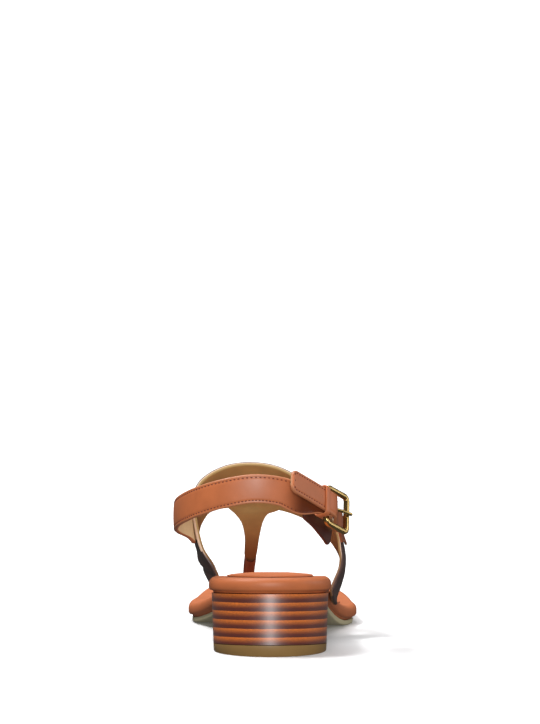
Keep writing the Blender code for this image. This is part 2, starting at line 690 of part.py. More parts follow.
def make_sling(slit):
    """Heel strap: from its stitched end on the upper, round the heel, and round the buckle's bar
    to its folded end."""
    upright = np.array((0.0, 0.0, 1.0))
    full = (SLING_WIDTH, SLING_THICKNESS)
    folded = (FOLD_WIDTH, FOLD_THICKNESS)
    stand = 2 * GAP + SLING_THICKNESS / 2
    controls = [(*on_strap(row, share, stand), *full) for row, share in SLING_END]
    controls += [(shares(row), upright, *full) for row in SLING]
    _, _, up, _ = buckle_axes()
    bar = -(BUCKLE_LENGTH - BUCKLE_BAR) / 2
    for along, share, height in FOLD_APPROACH:
        controls.append((by_buckle(bar + along, share * FOLD_OUT, height), up, *folded))
    for angle in (90, 45, 0, -45, -90):
        turn = math.radians(angle)
        controls.append((by_buckle(bar + FOLD_OUT * math.cos(turn), FOLD_OUT * math.sin(turn),
                                   -STRAP_DROP), up, *folded))
    controls.append((by_buckle(bar - FOLD_END, -FOLD_OUT, -STRAP_DROP), up, *folded))
    made = strap("heel_strap", controls, TAN, SLING_ROUND)
    subtract(made, slit)


def make_tie(hole):
    """Buckle strap: from its free tip through the keeper, over the heel bar, on the prong, under
    the far bar, and down to its stitched end on the upper."""
    _, _, up, _ = buckle_axes()
    half = (BUCKLE_LENGTH - BUCKLE_BAR) / 2
    over = FOLD_OUT + FOLD_THICKNESS / 2 + GAP + TIE_THICKNESS / 2
    size = (TIE_WIDTH, TIE_THICKNESS)
    bend = -half + TIE_BEND * over
    lengths = ((-TIE_TIP, TIE_LIFT), (-0.65 * TIE_TIP, 0.7 * TIE_LIFT), (-KEEPER_PLACE, KEEPER_SLACK),
               (-half, 0.0), (bend, (TIE_BEND - 1) * over), (0.0, -over - TIE_DIP),
               (half, -over - TIE_DROP))
    controls = [(by_buckle(along, over + out, -STRAP_DROP), up, *size) for along, out in lengths]
    upright = np.array((0.0, 0.0, 1.0))
    controls += [(shares(row), upright, *size) for row in TIE]
    stand = 2 * GAP + TIE_THICKNESS / 2
    controls += [(*on_strap(row, share, stand), *size) for row, share in TIE_END]
    made = strap("buckle_strap", controls, TAN, *TIE_ROUNDS)
    subtract(made, hole)


def make_keeper():
    """Keeper: a flat loop round the buckle strap and the heel strap, behind the heel bar."""
    _, ahead, up, out = buckle_axes()
    inner = FOLD_OUT - KEEPER_DRIFT - FOLD_THICKNESS / 2
    outer = FOLD_OUT + FOLD_THICKNESS / 2 + GAP + TIE_THICKNESS + KEEPER_SLACK
    clear = KEEPER_THICKNESS / 2 + GAP
    low, high = inner - clear, outer + clear
    half_height = FOLD_WIDTH / 2 + clear + KEEPER_ROOM
    corner = KEEPER_CORNER
    rings = []
    for quarter in range(4):
        for part in (0, 30, 60, 90):
            angle = math.radians(90 * quarter + part)
            mark = math.radians(90 * quarter + 45)
            middle = ((high + low) / 2 + math.copysign((high - low) / 2 - corner, math.cos(mark)),
                      math.copysign(half_height - corner, math.sin(mark)))
            away = math.cos(angle) * out + math.sin(angle) * up
            place = (by_buckle(-KEEPER_PLACE, middle[0], middle[1] - KEEPER_DROP)
                     + corner * away)
            thick, wide = KEEPER_THICKNESS / 2, KEEPER_WIDTH / 2
            rings.append([place + a * away + b * ahead
                          for a, b in ((thick, wide), (-thick, wide), (-thick, -wide),
                                       (thick, -wide))])
    ring_solid("keeper_loop", rings, TAN, loop=True)


def make_guard():
    """Tongue under the buckle, which keeps it off the foot."""
    upright = np.array((0.0, 0.0, 1.0))
    controls = [(shares(row), upright, GUARD_WIDTH, GUARD_THICKNESS) for row in GUARD]
    strap("buckle_guard", controls, TAN, *GUARD_ROUNDS)


def main():
    for old in list(bpy.data.objects):
        bpy.data.objects.remove(old, do_unlink=True)
    make_sole()
    make_heel()
    make_upper()
    make_post()
    hole, slit = make_buckle()
    make_sling(slit)
    make_tie(hole)
    make_keeper()
    make_guard()


main()
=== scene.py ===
"""T strap sandal for the right foot: leathers, stitching, brass and a stage round its solids.

Metres, +Z up, toe along +Y, lateral side +X. Lengths along the shoe are measured from the back of
the heel and called "along"; the medial side is -1 and the lateral side is +1.
"""

import math

import bmesh
import bpy
import numpy as np
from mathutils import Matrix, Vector


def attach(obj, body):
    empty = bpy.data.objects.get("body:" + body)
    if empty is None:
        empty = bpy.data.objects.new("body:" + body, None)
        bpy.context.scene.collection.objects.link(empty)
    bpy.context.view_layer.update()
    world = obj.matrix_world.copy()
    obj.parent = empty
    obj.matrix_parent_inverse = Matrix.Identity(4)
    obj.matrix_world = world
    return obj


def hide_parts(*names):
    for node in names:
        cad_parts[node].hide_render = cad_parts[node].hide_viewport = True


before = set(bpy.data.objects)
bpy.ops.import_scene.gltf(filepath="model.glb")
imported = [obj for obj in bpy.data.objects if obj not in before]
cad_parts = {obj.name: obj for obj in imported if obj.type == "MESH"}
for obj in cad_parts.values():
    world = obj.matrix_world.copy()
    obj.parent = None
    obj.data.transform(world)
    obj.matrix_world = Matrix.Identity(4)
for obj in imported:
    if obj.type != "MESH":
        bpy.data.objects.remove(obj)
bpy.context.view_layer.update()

bl_info = {
    "name": "T strap sandal",
    "version": (1, 0, 0),
    "blender": (4, 5, 0),
    "location": "3D View > Sidebar > Sandal",
    "description": "Builds the leathers, stitching, brass and stage of a T strap sandal",
    "category": "Add Mesh",
}

MEDIAL, LATERAL = -1, 1
UPRIGHT = np.array((0.0, 0.0, 1.0))
SHARP = math.radians(50)  # edges that turn more than this aren't smoothed

# Sole
SOLE_LENGTH = 0.246
HEEL_WIDTH = 0.0625
WAIST_WIDTH = 0.0565
BALL_WIDTH = 0.091
TOE_WIDTH = 0.085
HEEL_ROUND = 0.033        # length of the rounded back
TOE_ROUND = 0.062         # length of the rounded toe
TOE_SWING = -0.010        # the toe's tip lies this far to the medial side
HEEL_HEIGHT = 0.0295      # rise of the footbed's underside at the back, over the ball
SEAT_SLOPE = 0.08         # fall of the heel seat towards the front
SEAT_LENGTH = 0.050       # straight part of the seat
TREAD_START = 0.158       # where the sole comes down to the floor
TREAD_END = 0.182         # where it leaves it again
TREAD_SKEW = 0.20         # the tread line runs forward on the medial side
TOE_SPRING = 0.0078
OUTSOLE_THICKNESS = 0.0025
OUTSOLE_INSET = 0.0022
OUTSOLE_EDGE = 0.0008     # bevel of its lower edge
FOOTBED_THICKNESS = 0.008
FOOTBED_EDGE = 0.0035     # radius of the wrapped upper edge
FOOTBED_LOWER_EDGE = 0.0010
INSOLE_INSET = 0.0092
INSOLE_THICKNESS = 0.0015

# Heel
HEEL_BREAST = 0.048       # front face of the heel block
HEEL_TOP_INSET = 0.00155
HEEL_TIP_INSET = 0.00235
TOP_LIFT_TAPER = 0.0002   # its floor face is smaller by this
TOP_LIFT_BACK = 0.0060
TOP_LIFT_LEAN = 0.072     # the top lift thins towards the front by this slope

# Upper and toe post
WALL = 0.0022
INSTEP_HEIGHT = 0.091
LEG_BACK = 0.079          # where the legs' rear edges meet the sole
LEG_FRONT = 0.098         # where their front edges meet it
CROWN = 0.0012            # roundness of the strap across its width
STEM_TONGUE = 0.0041      # width of the stem's end, inside the toe post
POST_WIDTH = 0.0065
POST_DEPTH = 0.0052
POST_HORN = 0.0009        # the sleeve's rim rises at its sides by this and dips between them
POST_POCKET = 0.0065      # depth of the pocket that takes the stem's end
POST_FOOT = 0.0005        # its foot lies this far in front of the last row of its table

# Straps
SLING_WIDTH = 0.0145
SLING_THICKNESS = 0.0022
FOLD_WIDTH = 0.0122       # the heel strap narrows to this at its fold round the buckle
FOLD_THICKNESS = 0.0013   # and is pared down to this
TIE_WIDTH = 0.0120
TIE_THICKNESS = 0.0018
TIE_TIP = 0.0465          # its free tip ends this far behind the buckle's centre
GUARD_WIDTH = 0.0160
GUARD_THICKNESS = 0.0016
KEEPER_WIDTH = 0.0034
KEEPER_THICKNESS = 0.0009
KEEPER_PLACE = 0.0165     # behind the buckle's centre
KEEPER_CORNER = 0.0016
KEEPER_SLACK = 0.0004     # room between the keeper and the buckle strap
KEEPER_DRIFT = 0.0016     # the heel strap under it lies this much further in than at the fold
KEEPER_DROP = 0.0017      # its middle lies this far below the frame's
KEEPER_ROOM = 0.0008

# Buckle
BUCKLE_HEIGHT = 0.0222    # along its bars
BUCKLE_LENGTH = 0.0200    # along the strap
BUCKLE_BAR = 0.0028
BUCKLE_CORNER = 0.0024
BUCKLE_TURN = math.radians(40)  # heading, from straight ahead to the lateral side
BUCKLE_PITCH = math.radians(22.5)  # fall towards the front
BUCKLE_LEAN = math.radians(16)  # its face looks up by this
BAR_REACH = 0.62          # half a bar's diagonal, as a share of a bar
PRONG_DIAMETER = 0.0018
PRONG_TIP = 0.0012        # the prong reaches this far past the far bar's middle

GAP = 0.0003              # clearance between pieces that meet

HALF_BALL = BALL_WIDTH / 2
SEAT_LIFT = OUTSOLE_THICKNESS + GAP
TOP_LIFT_MIDDLE = (HEEL_BREAST + HEEL_TIP_INSET) / 2
FOLD_OUT = BAR_REACH * BUCKLE_BAR + GAP + FOLD_THICKNESS / 2  # the fold's radius round the bar

# Sole outline: along (share of the length), width there, share of that width, medial share
OUTLINE = (
    (0.00, HEEL_WIDTH, 1.000, 0.500),
    (0.13, HEEL_WIDTH, 1.000, 0.500),
    (0.24, HEEL_WIDTH, 0.965, 0.485),
    (0.36, WAIST_WIDTH, 1.000, 0.446),
    (0.47, BALL_WIDTH, 0.745, 0.462),
    (0.57, BALL_WIDTH, 0.900, 0.476),
    (0.64, BALL_WIDTH, 0.995, 0.482),
    (0.71, BALL_WIDTH, 0.985, 0.492),
    (0.80, TOE_WIDTH, 1.000, 0.488),
    (1.00, TOE_WIDTH, 0.970, 0.500),
)

# Upper from the medial to the lateral side: across, along and height of its rear edge, then of its
# front edge, as shares of half the ball width, the sole's length and the instep height
STRAP = (
    (-0.668, 0.346, 0.400, -0.800, 0.446, 0.385),
    (-0.806, 0.352, 0.515, -0.868, 0.470, 0.495),
    (-0.875, 0.361, 0.660, -0.862, 0.494, 0.600),
    (-0.902, 0.375, 0.790, -0.784, 0.514, 0.682),
    (-0.805, 0.397, 0.905, -0.655, 0.526, 0.716),
    (-0.535, 0.423, 0.980, -0.500, 0.532, 0.728),
    (-0.220, 0.435, 1.000, -0.215, 0.541, 0.734),
    (0.085, 0.431, 0.978, 0.118, 0.531, 0.715),
    (0.340, 0.419, 0.915, 0.360, 0.521, 0.678),
    (0.575, 0.398, 0.812, 0.545, 0.509, 0.627),
    (0.742, 0.379, 0.685, 0.718, 0.494, 0.545),
    (0.838, 0.362, 0.548, 0.850, 0.472, 0.440),
    (0.840, 0.350, 0.420, 0.868, 0.448, 0.335),
)
STEM_FROM, STEM_TO = 5, 7
STEM_LEAD = 5 / 6         # the stem's curve starts at this share of the upper's width

# Stem and toe post: across, along, height and half the stem's width over STEM_TONGUE
STEM = (
    (-0.216, 0.550, 0.680, 2.15),
    (-0.212, 0.574, 0.626, 1.38),
    (-0.210, 0.606, 0.566, 1.03),
    (-0.216, 0.650, 0.493, 0.81),
    (-0.226, 0.690, 0.430, 0.75),
    (-0.234, 0.716, 0.388, 0.68),
    (-0.236, 0.727, 0.368, 0.50),
)
POST = (
    (-0.236, 0.727, 0.368),
    (-0.243, 0.741, 0.335),
    (-0.256, 0.757, 0.275),
    (-0.268, 0.766, 0.200),
)

# Straps: across, along and height as shares. The rows of each END, at the strap's stitched end,
# are a row of the upper's table and a share of the upper's width instead
SLING = (
    (-0.935, 0.330, 0.662),
    (-1.035, 0.265, 0.704),
    (-1.060, 0.190, 0.743),
    (-0.995, 0.110, 0.795),
    (-0.800, 0.048, 0.855),
    (-0.520, 0.016, 0.905),
    (-0.180, 0.005, 0.935),
    (0.130, 0.013, 0.917),
    (0.330, 0.030, 0.868),
)
SLING_END = ((2.10, 0.62), (1.95, 0.36), (1.80, 0.10))
TIE = (
    (0.785, 0.205, 0.712),
    (0.808, 0.258, 0.668),
    (0.828, 0.312, 0.628),
)
TIE_END = ((10.50, 0.06), (10.50, 0.26), (10.50, 0.46))
GUARD = (
    (0.402, 0.074, 0.838),
    (0.512, 0.108, 0.780),
    (0.610, 0.146, 0.708),
    (0.680, 0.186, 0.640),
)
BUCKLE_PLACE = (0.744, 0.126, 0.790)
FOLD_APPROACH = ((-0.0100, 0.50, -0.0024), (-0.0045, 0.76, -0.0018))
STRAP_DROP = 0.0012       # the straps lie this far below the frame's middle
FOLD_END = 0.0025         # the folded end reaches this far back past the bar
TIE_BEND = 0.72           # where the buckle strap turns in past the heel bar
TIE_LIFT = 0.0014         # its free tip stands off by this
TIE_DIP = 0.0006          # it lies this far in at the buckle's centre
TIE_DROP = 0.0062         # and this far in under the far bar
SLING_ROUND = 0.003       # radii of the straps' corners
TIE_ROUNDS = (0.0035, 0.003)
GUARD_ROUNDS = (0.003, 0.005)

# Creases of the upper: depth, lean (rows over the whole width), the row that it
# passes at the rear edge, its width in rows, and the shares of the width between which it sets in
CREASES = (
    (0.0011, 0.45, -0.38, 0.15, -0.15, 0.20),     # fold down across the foot of the medial leg
    (-0.0004, 0.45, -0.05, 0.22, -0.05, 0.25),    # ridge above the fold
    (0.0004, 0.30, 0.62, 0.30, 0.00, 0.30),       # trough under the heel strap's end
    (0.0004, -0.80, 3.60, 0.45, 0.10, 0.60),      # waves at both shoulders of the crescent
    (0.0004, 0.90, 8.40, 0.45, 0.10, 0.60),
)
LATERAL_CREASE = (0.0006, 1.0, 11.2, 0.40)        # the same first four values, for all of the width
CRESCENT_SAG = 0.0003

# Finish of the straps
SLING_CROWN, TIE_CROWN, GUARD_CROWN = 0.0003, 0.0002, 0.0001
SLING_EDGE, TIE_EDGE = 0.0007, 0.0006             # radii of the straps' long edges
TIP_SHADOW_PLACE = ("X", 0.024, 0.007, 0.019)      # painted shadow of the buckle strap's tip on the heel strap: axis, middle, and reach of the full and of the faint shadow
THREAD = 0.00055          # width of the thread
GROOVE = 0.0002           # depth of the groove that each line of stitches lies in
GROOVE_WIDTH = 0.00045
STRAP_SKIVED = 0.55       # share of its thickness left at the very end of a strap
STRAP_END_ROUND = 0.0005
TIE_SKIVED = 0.6          # share of its thickness left at the buckle strap's sewn end
SLING_PLAIN = 0.023       # the heel strap's last stretch, at the fold, has no stitches
TIP_ROWS = 0.028          # the rows of stitches at the buckle strap's tip end here
TIE_ROWS = 0.062          # and the rows to its sewn end start here
TIP_SHORT, SEWN_SHORT = 0.0009, 0.0006   # the rows across stop this far inside the rows along
SPARE_HOLE = 0.0255       # from the buckle strap's tip, along it
HOLE_RADIUS = 0.0007

# Finish of the sole
PAD_EASE = 0.022          # the inlay is full this far in from its rear end
PAD_LOW, PAD_FULL = 0.25, 0.85
TIP_BEVEL = 0.0003

# Rim of the upper
RIM_BULGE = 0.0005
COATED, LINED, BARE = 0, 1, 2
RIM_BANDS = (COATED, COATED, COATED, BARE, LINED, LINED, LINED, LINED)   # from outside to inside

# Bare leather where the heel strap is sewn on: height, reach on the rim and on the face, the
# farthest it comes in from the medial side, and the rows of faces from the rear edge
SEWN_HEIGHT, SEWN_RIM, SEWN_FACE, SEWN_SIDE, SEWN_ROWS = 0.058, 0.013, 0.0068, -0.030, 4

# Softboxes that face the shoe: name, place, width and height, and the setting of its power
SOFTBOXES = (
    ("front_softbox", (0.03, -2.7, 0.42), (0.42, 0.8), "key"),
    ("left_softbox", (-0.95, 0.0, 1.8), (0.55, 0.55), "side"),
    ("top_softbox", (-0.2, 0.2, 2.0), (1.3, 1.3), "top"),
    ("right_softbox", (1.9, 0.3, 0.7), (1.0, 1.0), "fill"),
)

# Camera, fitted to the photograph
CAMERA_DISTANCE = 2.0     # behind the back of the heel
CAMERA_HEIGHT = 0.2438
CAMERA_TILT = math.radians(2.72)
FOCAL_PIXELS = 4000
FRAME_HEIGHT = 724


def linear(code):
    """Linear colour of an sRGB hex code."""
    parts = np.array([int(code[i:i + 2], 16) / 255 for i in (1, 3, 5)])
    return tuple(np.where(parts <= 0.04045, parts / 12.92, ((parts + 0.055) / 1.055) ** 2.4))


def colour_property(label, words, code):
    """Colour setting with its sRGB hex code as the default."""
    return bpy.props.FloatVectorProperty(name=label, description=words, subtype="COLOR", size=3,
                                         min=0, max=1, default=linear(code))


def length_property(label, words, value):
    """Length setting in metres."""
    return bpy.props.FloatProperty(name=label, description=words, default=value, min=0,
                                   unit="LENGTH", subtype="DISTANCE", precision=5)


def power_property(label, words, value):
    """Power setting in watts."""
    return bpy.props.FloatProperty(name=label, description=words, default=value, min=0,
                                   unit="POWER")


class SandalLooks(bpy.types.PropertyGroup):
    """Colours and small sizes that a user would change."""
    tan: colour_property("Tan leather", "Straps and wrapped footbed", "#BC6A3F")
    dark: colour_property("Dark upper", "Coated face of the T strap", "#46302A")
    # painted shadow of the buckle strap's tip and the keeper on the heel strap
    tip_shadow: colour_property("Painted shadow on tan", "Heel strap under the buckle strap's tip", "#622C12")
    lining: colour_property("Lining", "Inside of the T strap", "#B4945E")
    # painted shade of the lining, lower down towards the toe post and the feet of the legs
    lining_shade: colour_property("Painted shade of lining", "Lining near the toe post", "#6E4824")
    strap_lining: colour_property("Strap lining", "Inside of the sling straps", "#E6CC9C")
    cut_edge: colour_property("Cut edge", "Bare edge of the T strap's wall", "#D9BBA0")
    strap_edge: colour_property("Strap edge", "Painted edge of the tan straps", "#BA754F")
    sleeve: colour_property("Toe post sleeve", "Leather of the toe post", "#5E2210")
    # painted shade: the tan tongue under the buckle, dark brown for the shade it lies in
    tongue_shade: colour_property("Tongue", "Leather under the buckle", "#4C2014")
    thread: colour_property("Thread", "Waxed stitching", "#5E2410")
    layer_light: colour_property("Light layer", "Upper side of each heel layer", "#CC6A1C")
    layer_dark: colour_property("Dark layer", "Lower side of each heel layer", "#5E1C05")
    lift: colour_property("Heel tip", "Rubber of the heel tip", "#8C6C3E")
    sole: colour_property("Outsole", "Bare leather of the outsole", "#C4B994")
    brass: colour_property("Brass", "Buckle", "#B49860")
    layer_height: length_property("Layer height", "Height of one layer of the heel", 0.0044)
    stitch: length_property("Stitch", "Length of one stitch", 0.0013)
    stitch_pitch: length_property("Stitch pitch", "From one stitch to the next", 0.0019)
    stitch_inset: length_property("Stitch inset", "From a strap's edge to its stitches", 0.0015)


class SandalStage(bpy.types.PropertyGroup):
    """Studio round the shoe."""
    paper: colour_property("Paper", "Seamless paper behind and under the shoe", "#F7F7F8")
    key: power_property("Front light", "Power of the front softbox", 60.0)
    side: power_property("Left light", "Power of the left softbox", 32.0)
    top: power_property("Top light", "Power of the overhead softbox", 11.0)
    fill: power_property("Right light", "Power of the right softbox", 9.0)
    back: power_property("Back light", "Power of the paper's softbox", 160.0)
    room: bpy.props.FloatProperty(name="Room", description="Brightness of the room", default=0.11,
                                  min=0, max=5)


def looks():
    """Settings of the shoe."""
    return bpy.context.scene.sandal_looks


def through(rows, at):
    """Cubic Hermite curve through rows (parameter, values...), with the slope at each row taken
    between its neighbours, read at each parameter in at."""
    rows = np.asarray(rows, float)
    at = np.atleast_1d(np.asarray(at, float))
    knots, values = rows[:, 0], rows[:, 1:]
    slopes = np.empty_like(values)
    slopes[1:-1] = (values[2:] - values[:-2]) / (knots[2:] - knots[:-2])[:, None]
    slopes[0] = (values[1] - values[0]) / (knots[1] - knots[0])
    slopes[-1] = (values[-1] - values[-2]) / (knots[-1] - knots[-2])
    low = np.clip(np.searchsorted(knots, at, side="right") - 1, 0, len(knots) - 2)
    step = knots[low + 1] - knots[low]
    t = ((at - knots[low]) / step)[:, None]
    step = step[:, None]
    return ((2 * t**3 - 3 * t**2 + 1) * values[low] + (t**3 - 2 * t**2 + t) * step * slopes[low]
            + (3 * t**2 - 2 * t**3) * values[low + 1] + (t**3 - t**2) * step * slopes[low + 1])


def unit(vectors):
    """Vectors of length one."""
    vectors = np.asarray(vectors, float)
    return vectors / np.linalg.norm(vectors, axis=-1, keepdims=True)


def ramp(value, start, end):
    """Smooth step from 0 at start to 1 at end."""
    t = np.clip((value - start) / (end - start), 0, 1)
    return t * t * (3 - 2 * t)


def hump(value, middle, width):
    """Bell curve: 1 at the middle, and falling to about a third at this width from it."""
    return np.exp(-((value - middle) / width) ** 2)


def quarter_round(share):
    """Height of a quarter circle over its base, from 0 at its end to 1."""
    return np.sqrt(1 - (1 - np.clip(share, 0, 1)) ** 2)


def circle(count):
    """Angles of evenly spaced points round a circle."""
    return np.linspace(0, 2 * math.pi, count, endpoint=False)


def soft_section(angles, wide, wide_power, high, high_power):
    """Offsets of a rounded section: half of each size times the angles' cosine and sine, each to a
    power below one."""
    cos, sin = np.cos(angles), np.sin(angles)
    return (np.sign(cos) * abs(cos) ** wide_power * wide / 2,
            np.sign(sin) * abs(sin) ** high_power * high / 2)


def shares(row):
    """Point given as shares of half the ball width, the sole's length and the instep height."""
    return np.asarray(row[:3], float) * (HALF_BALL, SOLE_LENGTH, INSTEP_HEIGHT)


def edge(side, along):
    """Distance across of the sole's edge on one side: the outline's half width there, closed by a
    quarter round at the heel and one at the toe."""
    rows = [(part * SOLE_LENGTH, width * share * medial, width * share * (1 - medial))
            for part, width, share, medial in OUTLINE]
    half = through(rows, along)[:, 0 if side == MEDIAL else 1]
    across = side * half * quarter_round(np.asarray(along) / HEEL_ROUND)
    toe = quarter_round((SOLE_LENGTH - np.asarray(along)) / TOE_ROUND)
    return TOE_SWING + (across - TOE_SWING) * toe


def rim(side, turn, inset=0.0):
    """Points (across, along) of the outline moved in by inset along its normal. The turn runs from
    0 at the back to pi at the toe, and the length along is half of one minus its cosine."""
    def spot(angle):
        along = SOLE_LENGTH * (1 - np.cos(angle)) / 2
        return np.stack([edge(side, along), along], axis=-1)

    step = 1e-4
    turn = np.asarray(turn, float)
    before, after = spot(np.clip(turn - step, 0, math.pi)), spot(np.clip(turn + step, 0, math.pi))
    along_edge = unit(after - before)
    along_edge[turn < step] = (side, 0.0)
    along_edge[turn > math.pi - step] = (-side, 0.0)
    outward = np.stack([side * along_edge[:, 1], -side * along_edge[:, 0]], axis=-1)
    return spot(turn) - inset * outward


def turn_at(along):
    """Turn at which the outline reaches a length along the sole."""
    return np.arccos(np.clip(1 - 2 * np.asarray(along) / SOLE_LENGTH, -1, 1))


def rise(across, along):
    """Height of the sole's line over its tread: a straight seat, a cubic arch, the flat tread and
    a toe spring that grows with the power 1.6 of the length past the tread."""
    along = along + TREAD_SKEW * across * ramp(along, SEAT_LENGTH, TREAD_START)
    seat = HEEL_HEIGHT - SEAT_SLOPE * along
    run = TREAD_START - SEAT_LENGTH
    t = np.clip((along - SEAT_LENGTH) / run, 0, 1)
    seat_end = HEEL_HEIGHT - SEAT_SLOPE * SEAT_LENGTH
    arch = (2 * t**3 - 3 * t**2 + 1) * seat_end - (t**3 - 2 * t**2 + t) * run * SEAT_SLOPE
    toe = np.clip((along - TREAD_END) / (SOLE_LENGTH - TREAD_END), 0, None)
    return np.where(along < SEAT_LENGTH, seat, arch) + TOE_SPRING * toe**1.6


def underside(across, along):
    """Height of the footbed's underside."""
    return SEAT_LIFT + rise(across, along)


def top_side(across, along):
    """Height of the footbed's top."""
    return underside(across, along) + FOOTBED_THICKNESS


def tip_top(along):
    """Height of the top lift's upper face."""
    return TOP_LIFT_BACK - TOP_LIFT_LEAN * along


def quads(index):
    """Quads between the neighbours of a grid of point numbers."""
    return np.stack([index[:-1, :-1], index[:-1, 1:], index[1:, 1:], index[1:, :-1]],
                    axis=-1).reshape(-1, 4)


def grid_faces(rows, columns, first=0, close_rows=False, close_columns=False):
    """Quads of a grid of points that are numbered row by row from first."""
    index = first + np.arange(rows * columns).reshape(rows, columns)
    if close_rows:
        index = np.vstack([index, index[:1]])
    if close_columns:
        index = np.hstack([index, index[:, :1]])
    return quads(index)


def add_piece(name, points, faces, finishes, slots=None, node="", outward=True):
    """Smooth mesh piece on the root body. Points are measured from the back of the heel, faces are
    arrays of quads or longer rings, slots give each face its finish, and node is the CAD node that
    the piece stands for."""
    mesh = bpy.data.meshes.new(name)
    shift = np.array((0.0, -TOP_LIFT_MIDDLE, 0.0))
    mesh.from_pydata((np.asarray(points) + shift).tolist(), [], [tuple(map(int, f)) for f in faces])
    for made in finishes:
        mesh.materials.append(made)
    if slots is not None:
        mesh.polygons.foreach_set("material_index", np.asarray(slots, np.int32))
    work = bmesh.new()
    work.from_mesh(mesh)
    bmesh.ops.remove_doubles(work, verts=work.verts, dist=2e-6)
    if outward:
        bmesh.ops.recalc_face_normals(work, faces=work.faces)
    work.to_mesh(mesh)
    work.free()
    mesh.shade_smooth()
    mesh.set_sharp_from_angle(angle=SHARP)
    made = bpy.data.objects.new(name, mesh)
    bpy.context.scene.collection.objects.link(made)
    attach(made, "root")
    if node:
        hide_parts(node)
    return made


def add_node(tree, kind, inputs=None, **settings):
    """Shader node with its settings; each input takes a value or another node's output."""
    made = tree.nodes.new(kind)
    for key, value in settings.items():
        setattr(made, key, value)
    for key, value in (inputs or {}).items():
        if isinstance(value, bpy.types.NodeSocket):
            tree.links.new(value, made.inputs[key])
        else:
            made.inputs[key].default_value = value
    return made


def new_material(name):
    """Empty material, its tree, its shader and its place in the object's own coordinates."""
    made = bpy.data.materials.new(name)
    made.use_nodes = True
    tree = made.node_tree
    shader = tree.nodes["Principled BSDF"]
    place = add_node(tree, "ShaderNodeTexCoord").outputs["Object"]
    return made, tree, shader, place


def relief(tree, place, layers):
    """Normal from the sum of patterns (kind, size in mm, depth in mm)."""
    height = 0.0
    for kind, size, depth in layers:
        settings = {"feature": "SMOOTH_F1"} if kind == "ShaderNodeTexVoronoi" else {}
        pattern = add_node(tree, kind, {"Vector": place, "Scale": 1000 / size}, **settings)
        out = pattern.outputs["Distance" if settings else "Fac"]
        height = add_node(tree, "ShaderNodeMath", {0: out, 1: depth / 1000, 2: height},
                          operation="MULTIPLY_ADD").outputs[0]
    return add_node(tree, "ShaderNodeBump", {"Height": height, "Distance": 1.0,
                                             "Strength": 1.0}).outputs["Normal"]


def mottled(tree, place, colour, tone, size):
    """Colour that drifts a share of tone lighter and darker in clouds of a size in mm."""
    clouds = add_node(tree, "ShaderNodeTexNoise", {"Vector": place, "Scale": 1000 / size,
                                                   "Detail": 3.0}).outputs["Fac"]
    share = add_node(tree, "ShaderNodeMapRange", {"Value": clouds, "From Min": 0.3,
                                                  "From Max": 0.7})
    low, high = ([min(1.0, c * k) for c in colour] + [1.0] for k in (1 - tone, 1 + tone))
    return add_node(tree, "ShaderNodeMix", {"Factor": share.outputs[0], "A": low, "B": high},
                    data_type="RGBA").outputs["Result"]


def skin(name, colour, roughness, layers, tone=0.08, size=9.0, coat=0.0, ior=1.5, second=None):
    """Finish with a mottled colour and a relief of real sizes. The second colour, where given,
    holds up to one distance from a place on one axis, and has gone at another."""
    made, tree, shader, place = new_material(name)
    shown = mottled(tree, place, colour, tone, size)
    if second:
        other, axis, centre, near, far = second
        along = add_node(tree, "ShaderNodeSeparateXYZ", {"Vector": place}).outputs[axis]
        offset = add_node(tree, "ShaderNodeMath", {0: along, 1: centre}, operation="SUBTRACT")
        distance = add_node(tree, "ShaderNodeMath", {0: offset.outputs[0]}, operation="ABSOLUTE")
        share = add_node(tree, "ShaderNodeMapRange", {"Value": distance.outputs[0],
                                                      "From Min": near, "From Max": far},
                         interpolation_type="SMOOTHSTEP")
        shown = add_node(tree, "ShaderNodeMix", {"Factor": share.outputs[0], "A": (*other, 1.0),
                                                 "B": shown},
                         data_type="RGBA").outputs["Result"]
    tree.links.new(shown, shader.inputs["Base Color"])
    tree.links.new(relief(tree, place, layers), shader.inputs["Normal"])
    for key, value in (("Roughness", roughness), ("IOR", ior), ("Coat Weight", coat),
                       ("Coat Roughness", 0.3)):
        shader.inputs[key].default_value = value
    return made


PORES, WRINKLES = "ShaderNodeTexVoronoi", "ShaderNodeTexNoise"


def tan_calf(name="tan_calf_leather", second=None):
    """Vegetable-tanned calf leather, pressed smooth: fine pores of 0.7 mm that break up a satin
    gleam, and slow clouds of tone."""
    return skin(name, looks().tan, 0.46,
                ((PORES, 0.7, 0.012), (WRINKLES, 2.6, 0.035), (WRINKLES, 14.0, 0.10)),
                0.09, 11.0, 0.05, 1.45, second)


def tip_shadowed_calf():
    """The heel strap's calf, dark brown near the buckle: painted shadow of the tip and the keeper.
    """
    return tan_calf("rubbed_tan_calf_leather", (looks().tip_shadow, *TIP_SHADOW_PLACE))


def footbed_calf():
    """The same calf stretched over a board: smoother, with a longer gleam along its rolled rim."""
    return skin("footbed_calf_leather", looks().tan, 0.5,
                ((PORES, 0.8, 0.008), (WRINKLES, 6.0, 0.030)), 0.08, 16.0, 0.0, 1.42)


def coated_upper():
    """Coated split leather, rolled with a shallow pebble of 0.9 mm: dark, with a soft sheen."""
    return skin("coated_upper_leather", looks().dark, 0.42,
                ((PORES, 0.9, 0.030), (WRINKLES, 5.0, 0.08)), 0.25, 6.0, 0.0, 1.42)


def kid_lining():
    """Unfinished goat lining: matt and warm, with a loose grain of 1.2 mm, and a painted shade that
    turns it browner and darker lower down, where it nears the toe post and the feet of the legs."""
    return skin("kid_lining", looks().lining, 0.62,
                ((WRINKLES, 1.2, 0.03), (WRINKLES, 8.0, 0.10)), 0.10, 10.0,
                second=(looks().lining_shade, "Z", 0.0, 0.034, 0.062))


def strap_lining():
    """Pale goat lining of the sling straps: matt, nearly even."""
    return skin("pale_strap_lining", looks().strap_lining, 0.62,
                ((WRINKLES, 1.0, 0.02), (WRINKLES, 6.0, 0.06)), 0.07, 9.0)


